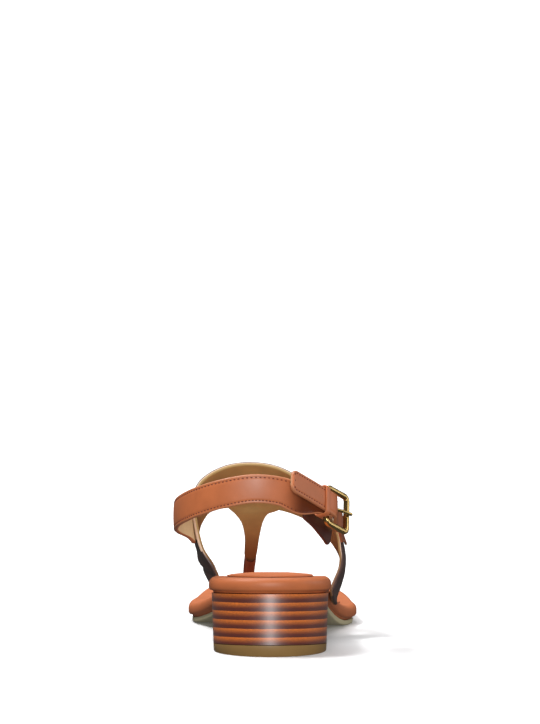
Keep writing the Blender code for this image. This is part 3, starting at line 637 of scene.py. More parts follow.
def raw_edge():
    """Bare cut edge of layered leather: pale fibre, drawn at 0.5 mm, which is coarser than real so
    that it shows."""
    return skin("raw_cut_edge", looks().cut_edge, 0.7, ((WRINKLES, 0.5, 0.03),), 0.10, 2.0,
                second=(looks().dark, "Z", 0.0, 0.040, 0.047))


def painted_edge():
    """Edge dye over burnished leather: even and a little darker than the face."""
    return skin("dyed_strap_edge", looks().strap_edge, 0.45, ((WRINKLES, 1.2, 0.02),), 0.06, 5.0)


def sleeve_calf():
    """Red-brown calf wrapped round a core: pores of 0.6 mm and lengthwise puckers."""
    return skin("sleeve_calf_leather", looks().sleeve, 0.45,
                ((PORES, 0.6, 0.015), (WRINKLES, 2.4, 0.08)), 0.10, 5.0, 0.1)


def shaded_tongue_calf():
    """Tan calf of the tongue, painted dark brown as the shade it lies in under the buckle: satin,
    with fine pores.
    """
    return skin("tongue_calf_leather", looks().tongue_shade, 0.48,
                ((PORES, 0.8, 0.015), (WRINKLES, 4.0, 0.05)), 0.10, 8.0, 0.1)


def waxed_thread():
    """Waxed polyester thread: even, with a slight gleam."""
    return skin("waxed_thread", looks().thread, 0.5, ((WRINKLES, 0.4, 0.02),), 0.05, 3.0)


def sole_leather():
    """Bare buffed sole leather: pale, matt and slightly fibrous."""
    return skin("buffed_sole_leather", looks().sole, 0.6,
                ((WRINKLES, 0.6, 0.02), (WRINKLES, 10.0, 0.05)), 0.05, 14.0)


def tip_rubber():
    """Moulded rubber of the heel tip: satin, evenly coloured, with a faint moulding grain."""
    return skin("moulded_tip_rubber", looks().lift, 0.42, ((WRINKLES, 0.8, 0.012),), 0.05, 8.0)


def stacked_leather():
    """Stacked leather, sanded flush, dyed and polished: each layer shades from dark at its foot to
    bright orange at its top under a clear gloss, so that its back carries a tall soft highlight.
    The layer's place is the height over the heel tip's sloping top, over the layer height."""
    made, tree, shader, place = new_material("polished_stacked_leather")
    slow = add_node(tree, "ShaderNodeMapping", {"Vector": place, "Scale": (90, 90, 380)})
    wander = add_node(tree, "ShaderNodeTexNoise", {"Vector": slow.outputs[0], "Scale": 1.0,
                                                   "Detail": 2.0}).outputs["Fac"]
    parts = add_node(tree, "ShaderNodeSeparateXYZ", {"Vector": place})
    level = add_node(tree, "ShaderNodeMath", {0: parts.outputs["Y"], 1: TOP_LIFT_LEAN,
                                              2: parts.outputs["Z"]}, operation="MULTIPLY_ADD")
    floor = TOP_LIFT_BACK - TOP_LIFT_LEAN * TOP_LIFT_MIDDLE
    pitch = looks().layer_height
    count = add_node(tree, "ShaderNodeMath", {0: level.outputs[0], 1: 1 / pitch, 2: -floor / pitch},
                     operation="MULTIPLY_ADD")
    drift = add_node(tree, "ShaderNodeMath", {0: wander, 1: 0.10, 2: count.outputs[0]},
                     operation="MULTIPLY_ADD")
    layer = add_node(tree, "ShaderNodeMath", {0: drift.outputs[0]}, operation="FRACT").outputs[0]
    bands = add_node(tree, "ShaderNodeValToRGB", {"Fac": layer})
    dark, light = np.array(looks().layer_dark), np.array(looks().layer_light)
    stops = ((0.0, dark * 0.8), (0.30, dark), (0.50, 0.7 * dark + 0.3 * light),
             (0.68, 0.3 * dark + 0.7 * light), (0.82, light), (0.93, light * 1.15),
             (0.985, dark * 0.8))
    ends = bands.color_ramp.elements
    while len(ends) < len(stops):
        ends.new(0.5)
    for stop, (at, colour) in zip(ends, stops):
        stop.position, stop.color = at, (*np.clip(colour, 0, 1), 1.0)
    grain = add_node(tree, "ShaderNodeTexNoise", {"Vector": slow.outputs[0], "Scale": 9.0,
                                                  "Detail": 4.0}).outputs["Fac"]
    shade = add_node(tree, "ShaderNodeMapRange", {"Value": grain, "From Min": 0.3, "From Max": 0.7,
                                                  "To Min": 0.72, "To Max": 1.25})
    colour = add_node(tree, "ShaderNodeVectorMath", {0: bands.outputs["Color"],
                                                     "Scale": shade.outputs[0]}, operation="SCALE")
    tree.links.new(colour.outputs[0], shader.inputs["Base Color"])
    tree.links.new(relief(tree, place, ((WRINKLES, 5.0, 0.02),)), shader.inputs["Normal"])
    for key, value in (("Roughness", 0.5), ("IOR", 1.35), ("Coat Weight", 1.0),
                       ("Coat Roughness", 0.33), ("Coat IOR", 2.0)):
        shader.inputs[key].default_value = value
    return made


def antique_brass():
    """Cast brass, tumbled and lightly aged: bright on its rounds, duller in thin drifts."""
    made, tree, shader, place = new_material("antique_brass")
    tree.links.new(mottled(tree, place, looks().brass, 0.14, 4.0), shader.inputs["Base Color"])
    drift = add_node(tree, "ShaderNodeTexNoise", {"Vector": place, "Scale": 400.0})
    gleam = add_node(tree, "ShaderNodeMapRange", {"Value": drift.outputs["Fac"], "To Min": 0.16,
                                                  "To Max": 0.34})
    tree.links.new(gleam.outputs[0], shader.inputs["Roughness"])
    shader.inputs["Metallic"].default_value = 1.0
    return made


def studio_paper():
    """Matt seamless paper, even and nearly white."""
    made, _, shader, _ = new_material("seamless_paper")
    settings = bpy.context.scene.sandal_stage
    shader.inputs["Base Color"].default_value = (*settings.paper, 1.0)
    shader.inputs["Roughness"].default_value = 0.9
    shader.inputs["Specular IOR Level"].default_value = 0.0
    return made


def plate(name, start, end, levels, finishes, node, stations=130, columns=14):
    """Closed shell with the sole's outline between two lengths along it. Each level, from the
    lowest up, is the outline moved in by an inset, at a height function of (across, along); the
    first and the last level are closed by a grid between their medial and lateral lines."""
    turns = np.linspace(turn_at(start), turn_at(end), stations + 1)
    share = np.linspace(0, 1, columns + 1)[:, None, None]

    def lift(flat, height):
        return np.concatenate([flat, height(flat[..., 0], flat[..., 1])[..., None]], axis=-1)

    rings, points, faces = [], [], []
    for inset, height in levels:
        left, right = rim(MEDIAL, turns, inset), rim(LATERAL, turns, inset)
        field = lift(left + (right - left) * share, height)
        rings.append(np.concatenate([field[0], field[1:-1, -1], field[-1, ::-1],
                                     field[-2:0:-1, 0]]))
        if len(rings) in (1, len(levels)):
            faces.append(grid_faces(columns + 1, stations + 1, sum(map(len, points))))
            points.append(field.reshape(-1, 3))
    rings = np.array(rings)
    faces.append(grid_faces(len(levels), rings.shape[1], sum(map(len, points)), close_columns=True))
    points.append(rings.reshape(-1, 3))
    return add_piece(name, np.concatenate(points), np.concatenate(faces), finishes, node=node)


def raised(height, by):
    """Height function raised by a length."""
    return lambda x, y: height(x, y) + by


def rounded(radius, height, steps=8):
    """Levels of a quarter-round upper edge."""
    return [(radius * (1 - math.cos(angle)), raised(height, -radius * (1 - math.sin(angle))))
            for angle in np.linspace(0, math.pi / 2, steps)]


def build_footbed():
    """Wrapped footbed: a small roll at its foot, upright walls and a wide roll at its rim."""
    low = FOOTBED_LOWER_EDGE
    levels = [(low + OUTSOLE_INSET, underside),
              (0.3 * low + OUTSOLE_INSET, raised(underside, 0.3 * low)),
              (OUTSOLE_INSET, raised(underside, low)),
              (0.3 * OUTSOLE_INSET, raised(underside, 1.4 * low)),
              (0.0, raised(underside, 2.2 * low))]
    levels += rounded(FOOTBED_EDGE, top_side)
    plate("footbed_wrap", 0.0, SOLE_LENGTH, levels, [footbed_calf()], "footbed")


def pad_top(x, y):
    """Height of the inlay's top: low at its rim, and fuller by the power 0.6 of the distance from
    the rim over its greatest value, so that it is domed across and at the heel."""
    left, right = ((edge(side, y.ravel()) - side * INSOLE_INSET).reshape(y.shape)
                   for side in (MEDIAL, LATERAL))
    half = np.maximum((right - left) / 2, 1e-4)
    across = 1 - np.clip(abs(x - (left + right) / 2) / half, 0, 1)
    along = np.clip((y - INSOLE_INSET) / PAD_EASE, 0, 1)
    dome = np.minimum(across * 1.6, 1) ** 0.6 * along ** 0.6
    return top_side(x, y) + GAP + INSOLE_THICKNESS * (PAD_LOW + PAD_FULL * dome)


def build_insole():
    """Padded inlay, domed, with a rolled edge."""
    levels = [(INSOLE_INSET, raised(top_side, GAP))]
    levels += [(INSOLE_INSET + inset, pad_top) for inset in (0.00015, 0.0006)]
    plate("insole_pad", 0.0, SOLE_LENGTH, levels, [footbed_calf()], "insole",
          columns=28)


def build_outsole():
    """Thin sole sheet with a bevelled lower edge."""
    low, cut = -GAP - OUTSOLE_THICKNESS, OUTSOLE_EDGE
    levels = [(OUTSOLE_INSET + cut, raised(underside, low)),
              (OUTSOLE_INSET + 0.3 * cut, raised(underside, low + 0.3 * cut)),
              (OUTSOLE_INSET, raised(underside, low + cut)),
              (OUTSOLE_INSET, raised(underside, -GAP))]
    plate("outsole_sheet", HEEL_BREAST + GAP, SOLE_LENGTH, levels, [sole_leather()], "outsole")


def build_heel():
    """Stacked heel block, whose height runs straight from the tip's top to the footbed's underside,
    and its rubber tip."""
    levels = [(HEEL_TIP_INSET + (HEEL_TOP_INSET - HEEL_TIP_INSET) * s,
               lambda x, y, s=s: (1 - s) * (tip_top(y) + GAP) + s * (underside(x, y) - GAP))
              for s in np.linspace(0, 1, 14)]
    plate("stacked_heel", 0.0, HEEL_BREAST, levels, [stacked_leather()], "heel_block",
          stations=60)
    levels = [(HEEL_TIP_INSET + TOP_LIFT_TAPER + TIP_BEVEL, lambda x, y: 0 * y),
              (HEEL_TIP_INSET + TOP_LIFT_TAPER, lambda x, y: 0 * y + TIP_BEVEL),
              (HEEL_TIP_INSET, lambda x, y: tip_top(y))]
    plate("heel_tip", 0.0, HEEL_BREAST, levels, [tip_rubber()], "top_lift",
          stations=60)


def leg_foot(side, along, low):
    """Middle of the upper's wall beside the footbed: at the sole seam, or near the top edge."""
    turn = np.atleast_1d(turn_at(along))
    flat = rim(side, turn, -(2 * GAP + WALL / 2))[0]
    if low:
        height = underside(*flat) + FOOTBED_LOWER_EDGE
    else:
        height = top_side(*flat) - FOOTBED_EDGE
    return np.array((flat[0], flat[1], float(height)))


def strap_line(share):
    """Control points of the upper across the foot, at a share of its width from rear to front."""
    along = LEG_BACK + (LEG_FRONT - LEG_BACK) * share
    crown = 4 * share * (1 - share) * CROWN
    rows = []
    for row in STRAP:
        rear, front = shares(row[:3]), shares(row[3:])
        point = rear + (front - rear) * share
        outward = unit((point[0] - TOE_SWING, 0.0, point[2] - INSTEP_HEIGHT / 2))
        rows.append(point + (crown - WALL / 2) * outward)
    return np.array([leg_foot(MEDIAL, along, True), leg_foot(MEDIAL, along, False), *rows,
                     leg_foot(LATERAL, along, False), leg_foot(LATERAL, along, True)])


def strap_knots():
    """Parameter of each control line, from the chords half-way across the strap's width."""
    middle = strap_line(0.5)
    return np.concatenate([[0], np.cumsum(np.linalg.norm(np.diff(middle, axis=0), axis=1))])


def strap_point(row, share):
    """Point of the upper at a row of its table (may lie between rows) and a share of its width."""
    knots = strap_knots()
    at = np.interp(row + 2, range(len(knots)), knots)
    return through(np.column_stack([knots, strap_line(share)]), at)[0]


def on_strap(row, share, stand_off):
    """Place above the upper's outer face, and the direction up along it across the foot."""
    small = 0.02
    here = strap_point(row, share)
    ahead = unit(strap_point(row, share + small) - strap_point(row, share - small))
    upward = unit(strap_point(row + small, share) - strap_point(row - small, share))
    if upward[2] < 0:
        upward = -upward
    out = unit(np.cross(ahead, upward))
    if out[0] * here[0] < 0:
        out = -out
    return here + out * (WALL / 2 + stand_off), upward


def smooth_path(points, spacing, near=0.0):
    """Rows along the Hermite curve through points, evenly spaced, with closer ones within a length
    of each end. Returns the rows, the length at each and the whole length."""
    points = np.asarray(points, float)
    chords = np.linalg.norm(np.diff(points[:, :3], axis=0), axis=1)
    knots = np.concatenate([[0], np.cumsum(chords)])
    fine = through(np.column_stack([knots, points]), np.linspace(0, knots[-1], 4000))
    length = np.concatenate([[0], np.cumsum(np.linalg.norm(np.diff(fine[:, :3], axis=0), axis=1))])
    whole = length[-1]
    stations = np.linspace(0, whole, int(whole / spacing) + 1)
    if near:
        close = near * (1 - np.cos(np.linspace(0, math.pi / 2, 14)))
        middle = stations[(stations > near) & (stations < whole - near)]
        stations = np.concatenate([close, middle, (whole - close)[::-1]])
    rows = np.column_stack([np.interp(stations, length, fine[:, i]) for i in range(fine.shape[1])])
    return rows, stations, whole


def post_line(spacing=0.0020):
    """Centre line of the toe post, from the stem down to the insole, and its direction."""
    foot = shares((*POST[-1][:2], 0)) + (0, POST_FOOT, 0)
    foot[2] = float(top_side(foot[0], foot[1])) + 2.5 * GAP + INSOLE_THICKNESS
    rows, _, _ = smooth_path([*(shares(row) for row in POST), foot], spacing)
    return rows, unit(np.gradient(rows, axis=0))


def creases(row, share):
    """Depth of the upper's creases, from its table row and its share of the width: each is a bell
    across a line that leans over the width. One on the lateral leg ends above the sole seam, and
    the crescent's middle sags slightly."""
    depth = CRESCENT_SAG * hump(share, 0.55, 0.2) * hump(row, 6.0, 2.2)
    for deep, lean, middle, width, start, full in CREASES:
        depth = depth + deep * hump(row - lean * share, middle, width) * ramp(share, start, full)
    deep, lean, middle, width = LATERAL_CREASE
    return depth + deep * hump(row - lean * share, middle, width) * ramp(-row, -12.6, -12.0)


def wall_round(points, faces, thickness, bulge, bands):
    """Closed wall round a sheet. Its faces lie half the thickness to each side along the normals,
    and its rim is half an ellipse between them: the sine of an angle over half the thickness and
    its cosine over the bulge, away from the sheet's edge. The bands give the rim's finishes from
    the outer face to the lining."""
    count = len(points)
    a, b, c, d = (points[faces[:, i]] for i in range(4))
    tilt = np.cross(c - a, d - b)
    normal = np.zeros_like(points)
    np.add.at(normal, faces, tilt[:, None])
    normal = unit(normal)
    start, end = faces.ravel(), np.roll(faces, -1, axis=1).ravel()
    lone = ~np.isin(start * count + end, end * count + start)
    start, end = start[lone], end[lone]
    away = np.zeros_like(points)
    outward = np.cross(points[end] - points[start], normal[start])
    np.add.at(away, start, outward)
    np.add.at(away, end, outward)
    spots = np.unique(start)
    place = np.empty(count, int)
    place[spots] = np.arange(len(spots))
    angles = np.linspace(math.pi / 2, -math.pi / 2, len(bands) + 1)[1:-1]
    around = (points[spots] + np.sin(angles)[:, None, None] * normal[spots] * thickness / 2
              + np.cos(angles)[:, None, None] * unit(away[spots]) * bulge)
    index = np.vstack([np.arange(count)[spots],
                       2 * count + np.arange(around[..., 0].size).reshape(len(angles), -1),
                       count + np.arange(count)[spots]])
    rim_faces = np.stack([index[:-1, place[end]], index[:-1, place[start]],
                          index[1:, place[start]], index[1:, place[end]]], axis=-1)
    everything = np.concatenate([points + normal * thickness / 2, points - normal * thickness / 2,
                                 around.reshape(-1, 3)])
    slots = np.concatenate([np.zeros(len(faces), int), np.ones(len(faces), int),
                            np.repeat(bands, len(start))])
    return everything, np.concatenate([faces, faces[:, ::-1] + count,
                                       rim_faces.reshape(-1, 4)]), slots


def build_upper():
    """The upper as one sheet, then a wall round it. Across the foot each line is the Hermite curve
    through the table's rows; from rear to front the rows run straight with a crown; the stem's
    lines follow on from the front edge."""
    per_row, deep = 10, 26
    knots = strap_knots()
    marks = np.concatenate([np.linspace(a, b, per_row, endpoint=False)
                            for a, b in zip(knots, knots[1:])] + [knots[-1:]])
    rows = np.interp(marks, knots, np.arange(len(knots)) - 2.0)
    widths = np.linspace(0, 1, deep + 1)
    grid = np.array([through(np.column_stack([knots, strap_line(share)]), marks)
                     for share in widths])
    normal = unit(np.cross(np.gradient(grid, axis=1), np.gradient(grid, axis=0)))
    first, last = (STEM_FROM + 2) * per_row, (STEM_TO + 2) * per_row
    fade = 1 - ramp(widths, 0.75, 1.0)[:, None] * hump(rows, 6.0, 1.1)[None, :]
    grid = grid - normal * (creases(rows[None, :], widths[:, None]) * fade)[..., None]
    wide, columns = len(marks), last - first
    lead = through(np.column_stack([knots, strap_line(STEM_LEAD)]), marks)

    spread = np.linspace(-1, 1, columns + 1)
    lines = [lead[first:last + 1], grid[-1, first:last + 1]]
    for row in STEM:
        lines.append(shares(row) + np.outer(spread * row[3] * STEM_TONGUE, (1, 0, 0)))
    for place in post_line()[0][1:3]:
        lines.append(place + np.outer(spread * STEM_TONGUE / 2, (1, 0, 0)))
    lines = np.array(lines)
    middle = lines[:, columns // 2]
    length = np.concatenate([[0], np.cumsum(np.linalg.norm(np.diff(middle, axis=0), axis=1))])
    at = np.linspace(length[1], length[-1], 64)[1:]
    stem = np.stack([through(np.column_stack([length, lines[:, j]]), at)
                     for j in range(columns + 1)], axis=1)
    points = np.concatenate([grid.reshape(-1, 3), stem.reshape(-1, 3)])
    front = wide * deep + np.arange(first, last + 1)
    below = wide * (deep + 1) + np.arange(stem[..., 0].size).reshape(stem.shape[:2])
    faces = np.concatenate([grid_faces(deep + 1, wide), quads(np.vstack([front, below]))])
    points, faces, slots = wall_round(points, faces, WALL, RIM_BULGE, RIM_BANDS)
    x, _, z = points[faces].mean(axis=1).T
    spot = np.arange(len(faces))
    on_rim, at_rear = spot > 2 * wide * deep, spot < SEWN_ROWS * (wide - 1)
    reach = np.where(on_rim, SEWN_RIM, SEWN_FACE)
    sewn = (x < SEWN_SIDE) & (abs(z - SEWN_HEIGHT) < reach) & (on_rim | at_rear)
    slots[sewn & (slots == COATED)] = BARE
    add_piece("t_strap_wall", points, faces, [coated_upper(), kid_lining(), raw_edge()], slots,
              "t_strap", outward=False)


def ring_frame(line, across):
    """Directions ahead, across and outward along a line."""
    ahead = unit(np.gradient(line, axis=0))
    across = unit(across - np.sum(across * ahead, axis=1, keepdims=True) * ahead)
    return ahead, across, np.cross(ahead, across)


def tube(name, rings, finishes, node="", loop=False, slots=None):
    """Closed skin over rings of points, with a face at each end unless the rings form a loop."""
    rows, columns = rings.shape[:2]
    faces = grid_faces(rows, columns, close_rows=loop, close_columns=True).tolist()
    marks = list(np.tile(slots, rows - (not loop))) if slots is not None else [0] * len(faces)
    if not loop:
        faces += [list(range(columns)), list(range((rows - 1) * columns, rows * columns))]
        marks += [1 if slots is not None else 0] * 2
    return add_piece(name, rings.reshape(-1, 3), faces, finishes, marks, node)


def build_post():
    """Toe post: a sleeve with a soft box section, carried up its line from the insole. It is drawn
    in by a twentieth above its middle and flared by a tenth at its foot, its mouth rises in two
    horns, and a pocket in it holds the stem's end."""
    line, ahead = post_line(0.0006)
    aside = unit(np.cross(ahead, np.cross((1.0, 0.0, 0.0), ahead)))
    deep = np.cross(ahead, aside)
    angles = circle(40)

    def ring(index, wide, thick, horn=0.0, power=0.8):
        a, b = soft_section(angles, wide, power, thick, power)
        return (line[index] + a[:, None] * aside[index] + b[:, None] * deep[index]
                - horn * np.cos(2 * angles)[:, None] * ahead[index])

    count = len(line)
    pocket = STEM_TONGUE + 3 * GAP, WALL + 3 * GAP
    distance = np.linalg.norm(line - line[0], axis=1)
    floor = int(np.argmin(abs(distance - POST_POCKET)))
    waist = 1 - 0.05 * hump(distance, distance[-1] * 0.6, distance[-1] * 0.3)
    flare = 1 + 0.10 * ramp(distance, distance[-1] * 0.85, distance[-1])
    rings = [ring(i, POST_WIDTH * waist[i] * flare[i], POST_DEPTH * waist[i] * flare[i],
                  POST_HORN * ramp(-distance[i], -0.004, 0)) for i in range(count - 1, -1, -1)]
    rings.append(ring(0, POST_WIDTH - 0.0008, POST_DEPTH - 0.0008, POST_HORN + 0.0002, 0.7))
    rings.append(ring(0, *pocket, POST_HORN, 0.45))
    rings += [ring(i, *pocket, 0.0, 0.45) for i in range(2, floor + 1, 2)]
    tube("toe_post_sleeve", np.array(rings), [sleeve_calf()], "toe_post")


def buckle_axes():
    """Centre of the buckle and its directions: along the strap, up along its bars, outward."""
    turn, pitch, lean = BUCKLE_TURN, BUCKLE_PITCH, BUCKLE_LEAN
    ahead = np.array((math.sin(turn) * math.cos(pitch), math.cos(turn) * math.cos(pitch),
                      -math.sin(pitch)))
    level = np.array((math.cos(turn), -math.sin(turn), 0.0))
    over = np.cross(level, ahead)
    out = math.cos(lean) * level + math.sin(lean) * over
    return shares(BUCKLE_PLACE), ahead, np.cross(out, ahead), out


def by_buckle(along, out, up=0.0):
    """Point given by its lengths along the strap, outward and upward from the buckle's centre."""
    centre, ahead, upward, outward = buckle_axes()
    return centre + along * ahead + out * outward + up * upward


def loop_rings(centre, sides, halves, corner, steps, section, level):
    """Rings of a section carried round a rectangle with round corners. The rectangle lies round its
    centre, half of each size along one of two directions. The section's first offset goes away from
    the corner's middle and its second along the direction called level."""
    first, second = sides
    away_by, level_by = (offset[:, None] for offset in section)
    rings = []
    for quarter in range(4):
        mark = math.radians(90 * quarter + 45)
        middle = (math.copysign(halves[0] - corner, math.cos(mark)) * first
                  + math.copysign(halves[1] - corner, math.sin(mark)) * second)
        for angle in np.radians(90 * quarter + np.linspace(0, 90, steps)):
            away = math.cos(angle) * first + math.sin(angle) * second
            rings.append(centre + middle + corner * away + away_by * away + level_by * level)
    return np.array(rings)


def build_buckle():
    """Frame: a bar with a soft square section carried round a rectangle. Prong: a round bar with a
    domed tip along its curve."""
    half_length, half_height = (BUCKLE_LENGTH - BUCKLE_BAR) / 2, (BUCKLE_HEIGHT - BUCKLE_BAR) / 2
    centre, ahead, up, out = buckle_axes()
    section = soft_section(circle(28), BUCKLE_BAR, 0.62, BUCKLE_BAR, 0.62)
    rings = loop_rings(centre, (ahead, up), (half_length, half_height), BUCKLE_CORNER, 12, section,
                       out)
    brass = antique_brass()
    tube("brass_frame", rings, [brass], "buckle_frame", loop=True)

    radius = PRONG_DIAMETER / 2
    seat = BUCKLE_BAR / 2 + GAP + radius
    lengths = ((-half_length + seat, -0.20), (-0.42 * half_length, -0.10), (0.0, 0.25),
               (0.55 * half_length, 0.74), (half_length, 1.04), (half_length + PRONG_TIP, 1.0))
    line, stations, whole = smooth_path([by_buckle(a, share * seat) for a, share in lengths],
                                        0.0004, 0.0009)
    ahead, aside, over = ring_frame(line, np.tile(up, (len(line), 1)))
    end = np.minimum(stations, whole - stations)
    size = (radius * np.maximum(quarter_round(end / radius), 0.03))[:, None, None]
    cos, sin = np.cos(circle(20))[:, None], np.sin(circle(20))[:, None]
    rings = line[:, None] + size * (cos * aside[:, None] + sin * over[:, None])
    tube("brass_prong", rings, [brass], "buckle_prong")


def strap_section(wide, thick, edge_radius, crown, groove, inset):
    """Section of a strap as offsets across and outward, one ring for each station: a crowned outer
    face with a shallow groove along each line of stitches, round edges and a flat lining. Returns
    the offsets and the finish of each side of the ring."""
    face = np.linspace(1, -1, 33)
    lining = face[::4][1:-1]
    arc = np.linspace(0, math.pi / 2, 5)[1:]
    wide, thick = wide[:, None], thick[:, None]
    radius = np.minimum(edge_radius, thick * 0.95)
    flat = wide - radius
    outer = flat * face
    near = abs(abs(outer) - (wide - inset))
    top = thick + crown * (1 - face**2) * ramp(wide, 0.002, 0.005)
    top = top - groove * hump(near, 0.0, GROOVE_WIDTH)
    left = -flat - radius * np.sin(arc), thick - radius * (1 - np.cos(arc))
    low_left = -flat - radius * np.cos(arc), -thick + radius * (1 - np.sin(arc))
    inner = -flat * lining, -thick + 0 * lining
    low_right = flat + radius * np.sin(arc), -thick + radius * (1 - np.cos(arc))
    right = flat + radius * np.cos(arc), thick - radius * (1 - np.sin(arc))
    across = np.concatenate([outer, left[0], low_left[0], inner[0] + 0 * flat,
                             flat, low_right[0], right[0][:, :-1]], axis=1)
    outward = np.concatenate([top, left[1], low_left[1], inner[1], -thick,
                              low_right[1], right[1][:, :-1]], axis=1)
    slots = np.ones(across.shape[1], int)
    slots[:len(face) - 1] = 0
    turned = len(face) + 2 * len(arc) - 1
    slots[turned:turned + len(lining) + 1] = 2
    return across, outward, slots


def strap_path(controls, rounds):
    """Stations along a flat strap: rows of centre, across, width and thickness, their lengths and
    the half widths, which are drawn in at the rounded corners of each end."""
    rows = [(*point, *across, width, thick) for point, across, width, thick in controls]
    rows, stations, whole = smooth_path(rows, 0.0007, 0.004)
    half = rows[:, 6] / 2
    for distance, radius in ((stations, rounds[0]), (whole - stations, rounds[1])):
        if radius:
            half = half - np.where(distance < radius,
                                   radius * (1 - quarter_round(distance / radius)) * 0.92, 0)
    return rows, stations, whole, half


def strap(name, controls, rounds, finishes, node, crown, groove, edge_radius):
    """Flat strap carried along a smooth line, with rounded ends. Returns its path for stitching."""
    rows, stations, whole, half = strap_path(controls, rounds)
    thick = rows[:, 7] / 2
    end = np.minimum(stations, whole - stations)
    skived = STRAP_SKIVED + (1 - STRAP_SKIVED) * quarter_round(end / STRAP_END_ROUND)
    across, outward, slots = strap_section(half, thick * skived, edge_radius, crown, groove,
                                           looks().stitch_inset)
    line = rows[:, :3]
    ahead, aside, out = ring_frame(line, rows[:, 3:6])
    rings = line[:, None] + across[..., None] * aside[:, None] + outward[..., None] * out[:, None]
    tube(name, rings, finishes, node, slots=slots)
    return line, ahead, aside, out, stations, half, thick


def thread_row(path, start, end, side):
    """Places, directions and outward directions of stitches along a strap: one each pitch between
    two lengths, at the inset from the edge on one side."""
    line, ahead, aside, out, stations, half, thick = path
    at = np.linspace(start, end, max(2, int(abs(end - start) / looks().stitch_pitch)))
    rows = np.column_stack([line, ahead, aside, out, thick, half])
    rows = np.column_stack([np.interp(at, stations, column) for column in rows.T])
    shift = side * (rows[:, 13:] - looks().stitch_inset)
    place = rows[:, :3] + shift * rows[:, 6:9]
    place = place + (rows[:, 12:13] - GROOVE + THREAD * 0.28) * rows[:, 9:12]
    return place, rows[:, 3:6], rows[:, 9:12]


def thread_end(path, at, reach):
    """Stitches across a strap at one length along it, out to a reach each side of its middle."""
    line, ahead, aside, out, stations, half, thick = path
    shift = np.linspace(-reach, reach, max(2, int(2 * reach / looks().stitch_pitch)))[:, None]
    rows = np.column_stack([line, ahead, aside, out, thick])
    row = np.array([np.interp(at, stations, column) for column in rows.T])
    place = row[:3] + shift * row[6:9] + (row[12] + THREAD * 0.28) * row[9:12]
    return place, np.tile(row[6:9], (len(shift), 1)), np.tile(row[9:12], (len(shift), 1))


def stitches(name, runs):
    """One mesh of stitches: each is a flattened round bar with tapered ends, which dips at both
    ends by half its height, set at its place along its run's direction."""
    place, along, out = (np.concatenate(parts) for parts in zip(*runs))
    along, out = unit(along), unit(out)
    aside = np.cross(along, out)
    share = np.linspace(-1, 1, 6)
    size = THREAD / 2 * np.sqrt(np.clip(1 - share**4, 0.02, 1))
    local_x = np.repeat(share * looks().stitch / 2, 6)[:, None]
    local_y = np.outer(size, np.cos(circle(6))).reshape(-1, 1)
    local_z = np.outer(size, np.sin(circle(6))) * 0.7 - (THREAD * 0.5 * share**4)[:, None]
    points = (place[:, None] + local_x * along[:, None] + local_y * aside[:, None]
              + local_z.reshape(-1, 1) * out[:, None])
    first = 36 * np.arange(len(place))[:, None, None]
    sides = (first + grid_faces(6, 6, close_columns=True)).reshape(-1, 4)
    caps = (first + np.array([range(6), range(30, 36)])).reshape(-1, 6)
    add_piece(name, points.reshape(-1, 3), sides.tolist() + caps.tolist(), [waxed_thread()])


def sling_controls():
    """Heel strap: stitched end on the upper, round the heel, and round the buckle's bar."""
    full, folded = (SLING_WIDTH, SLING_THICKNESS), (FOLD_WIDTH, FOLD_THICKNESS)
    stand = GAP / 2 + SLING_THICKNESS / 2
    controls = [(*on_strap(row, share, stand), *full) for row, share in SLING_END]
    controls += [(shares(row), UPRIGHT, *full) for row in SLING]
    _, _, up, _ = buckle_axes()
    bar = -(BUCKLE_LENGTH - BUCKLE_BAR) / 2
    for along, share, height in FOLD_APPROACH:
        controls.append((by_buckle(bar + along, share * FOLD_OUT, height), up, *folded))
    for angle in (90, 45, 0, -45, -90):
        turn = math.radians(angle)
        controls.append((by_buckle(bar + FOLD_OUT * math.cos(turn), FOLD_OUT * math.sin(turn),
                                   -STRAP_DROP), up, *folded))
    controls.append((by_buckle(bar - FOLD_END, -FOLD_OUT, -STRAP_DROP), up, *folded))
    return controls


def tie_controls():
    """Buckle strap: free tip, keeper, over the heel bar, under the far bar, end on the upper."""
    _, _, up, _ = buckle_axes()
    half = (BUCKLE_LENGTH - BUCKLE_BAR) / 2
    over = FOLD_OUT + FOLD_THICKNESS / 2 + GAP + TIE_THICKNESS / 2
    size = (TIE_WIDTH, TIE_THICKNESS)
    bend = -half + TIE_BEND * over
    lengths = ((-TIE_TIP, TIE_LIFT), (-0.65 * TIE_TIP, 0.7 * TIE_LIFT),
               (-KEEPER_PLACE, KEEPER_SLACK), (-half, 0.0), (bend, (TIE_BEND - 1) * over),
               (0.0, -over - TIE_DIP), (half, -over - TIE_DROP))
    controls = [(by_buckle(along, over + out, -STRAP_DROP), up, *size) for along, out in lengths]
    controls += [(shares(row), UPRIGHT, *size) for row in TIE]
    skived = TIE_THICKNESS * TIE_SKIVED
    stand = GAP / 2 + skived / 2
    controls += [(*on_strap(row, share, stand), TIE_WIDTH, skived) for row, share in TIE_END]
    return controls


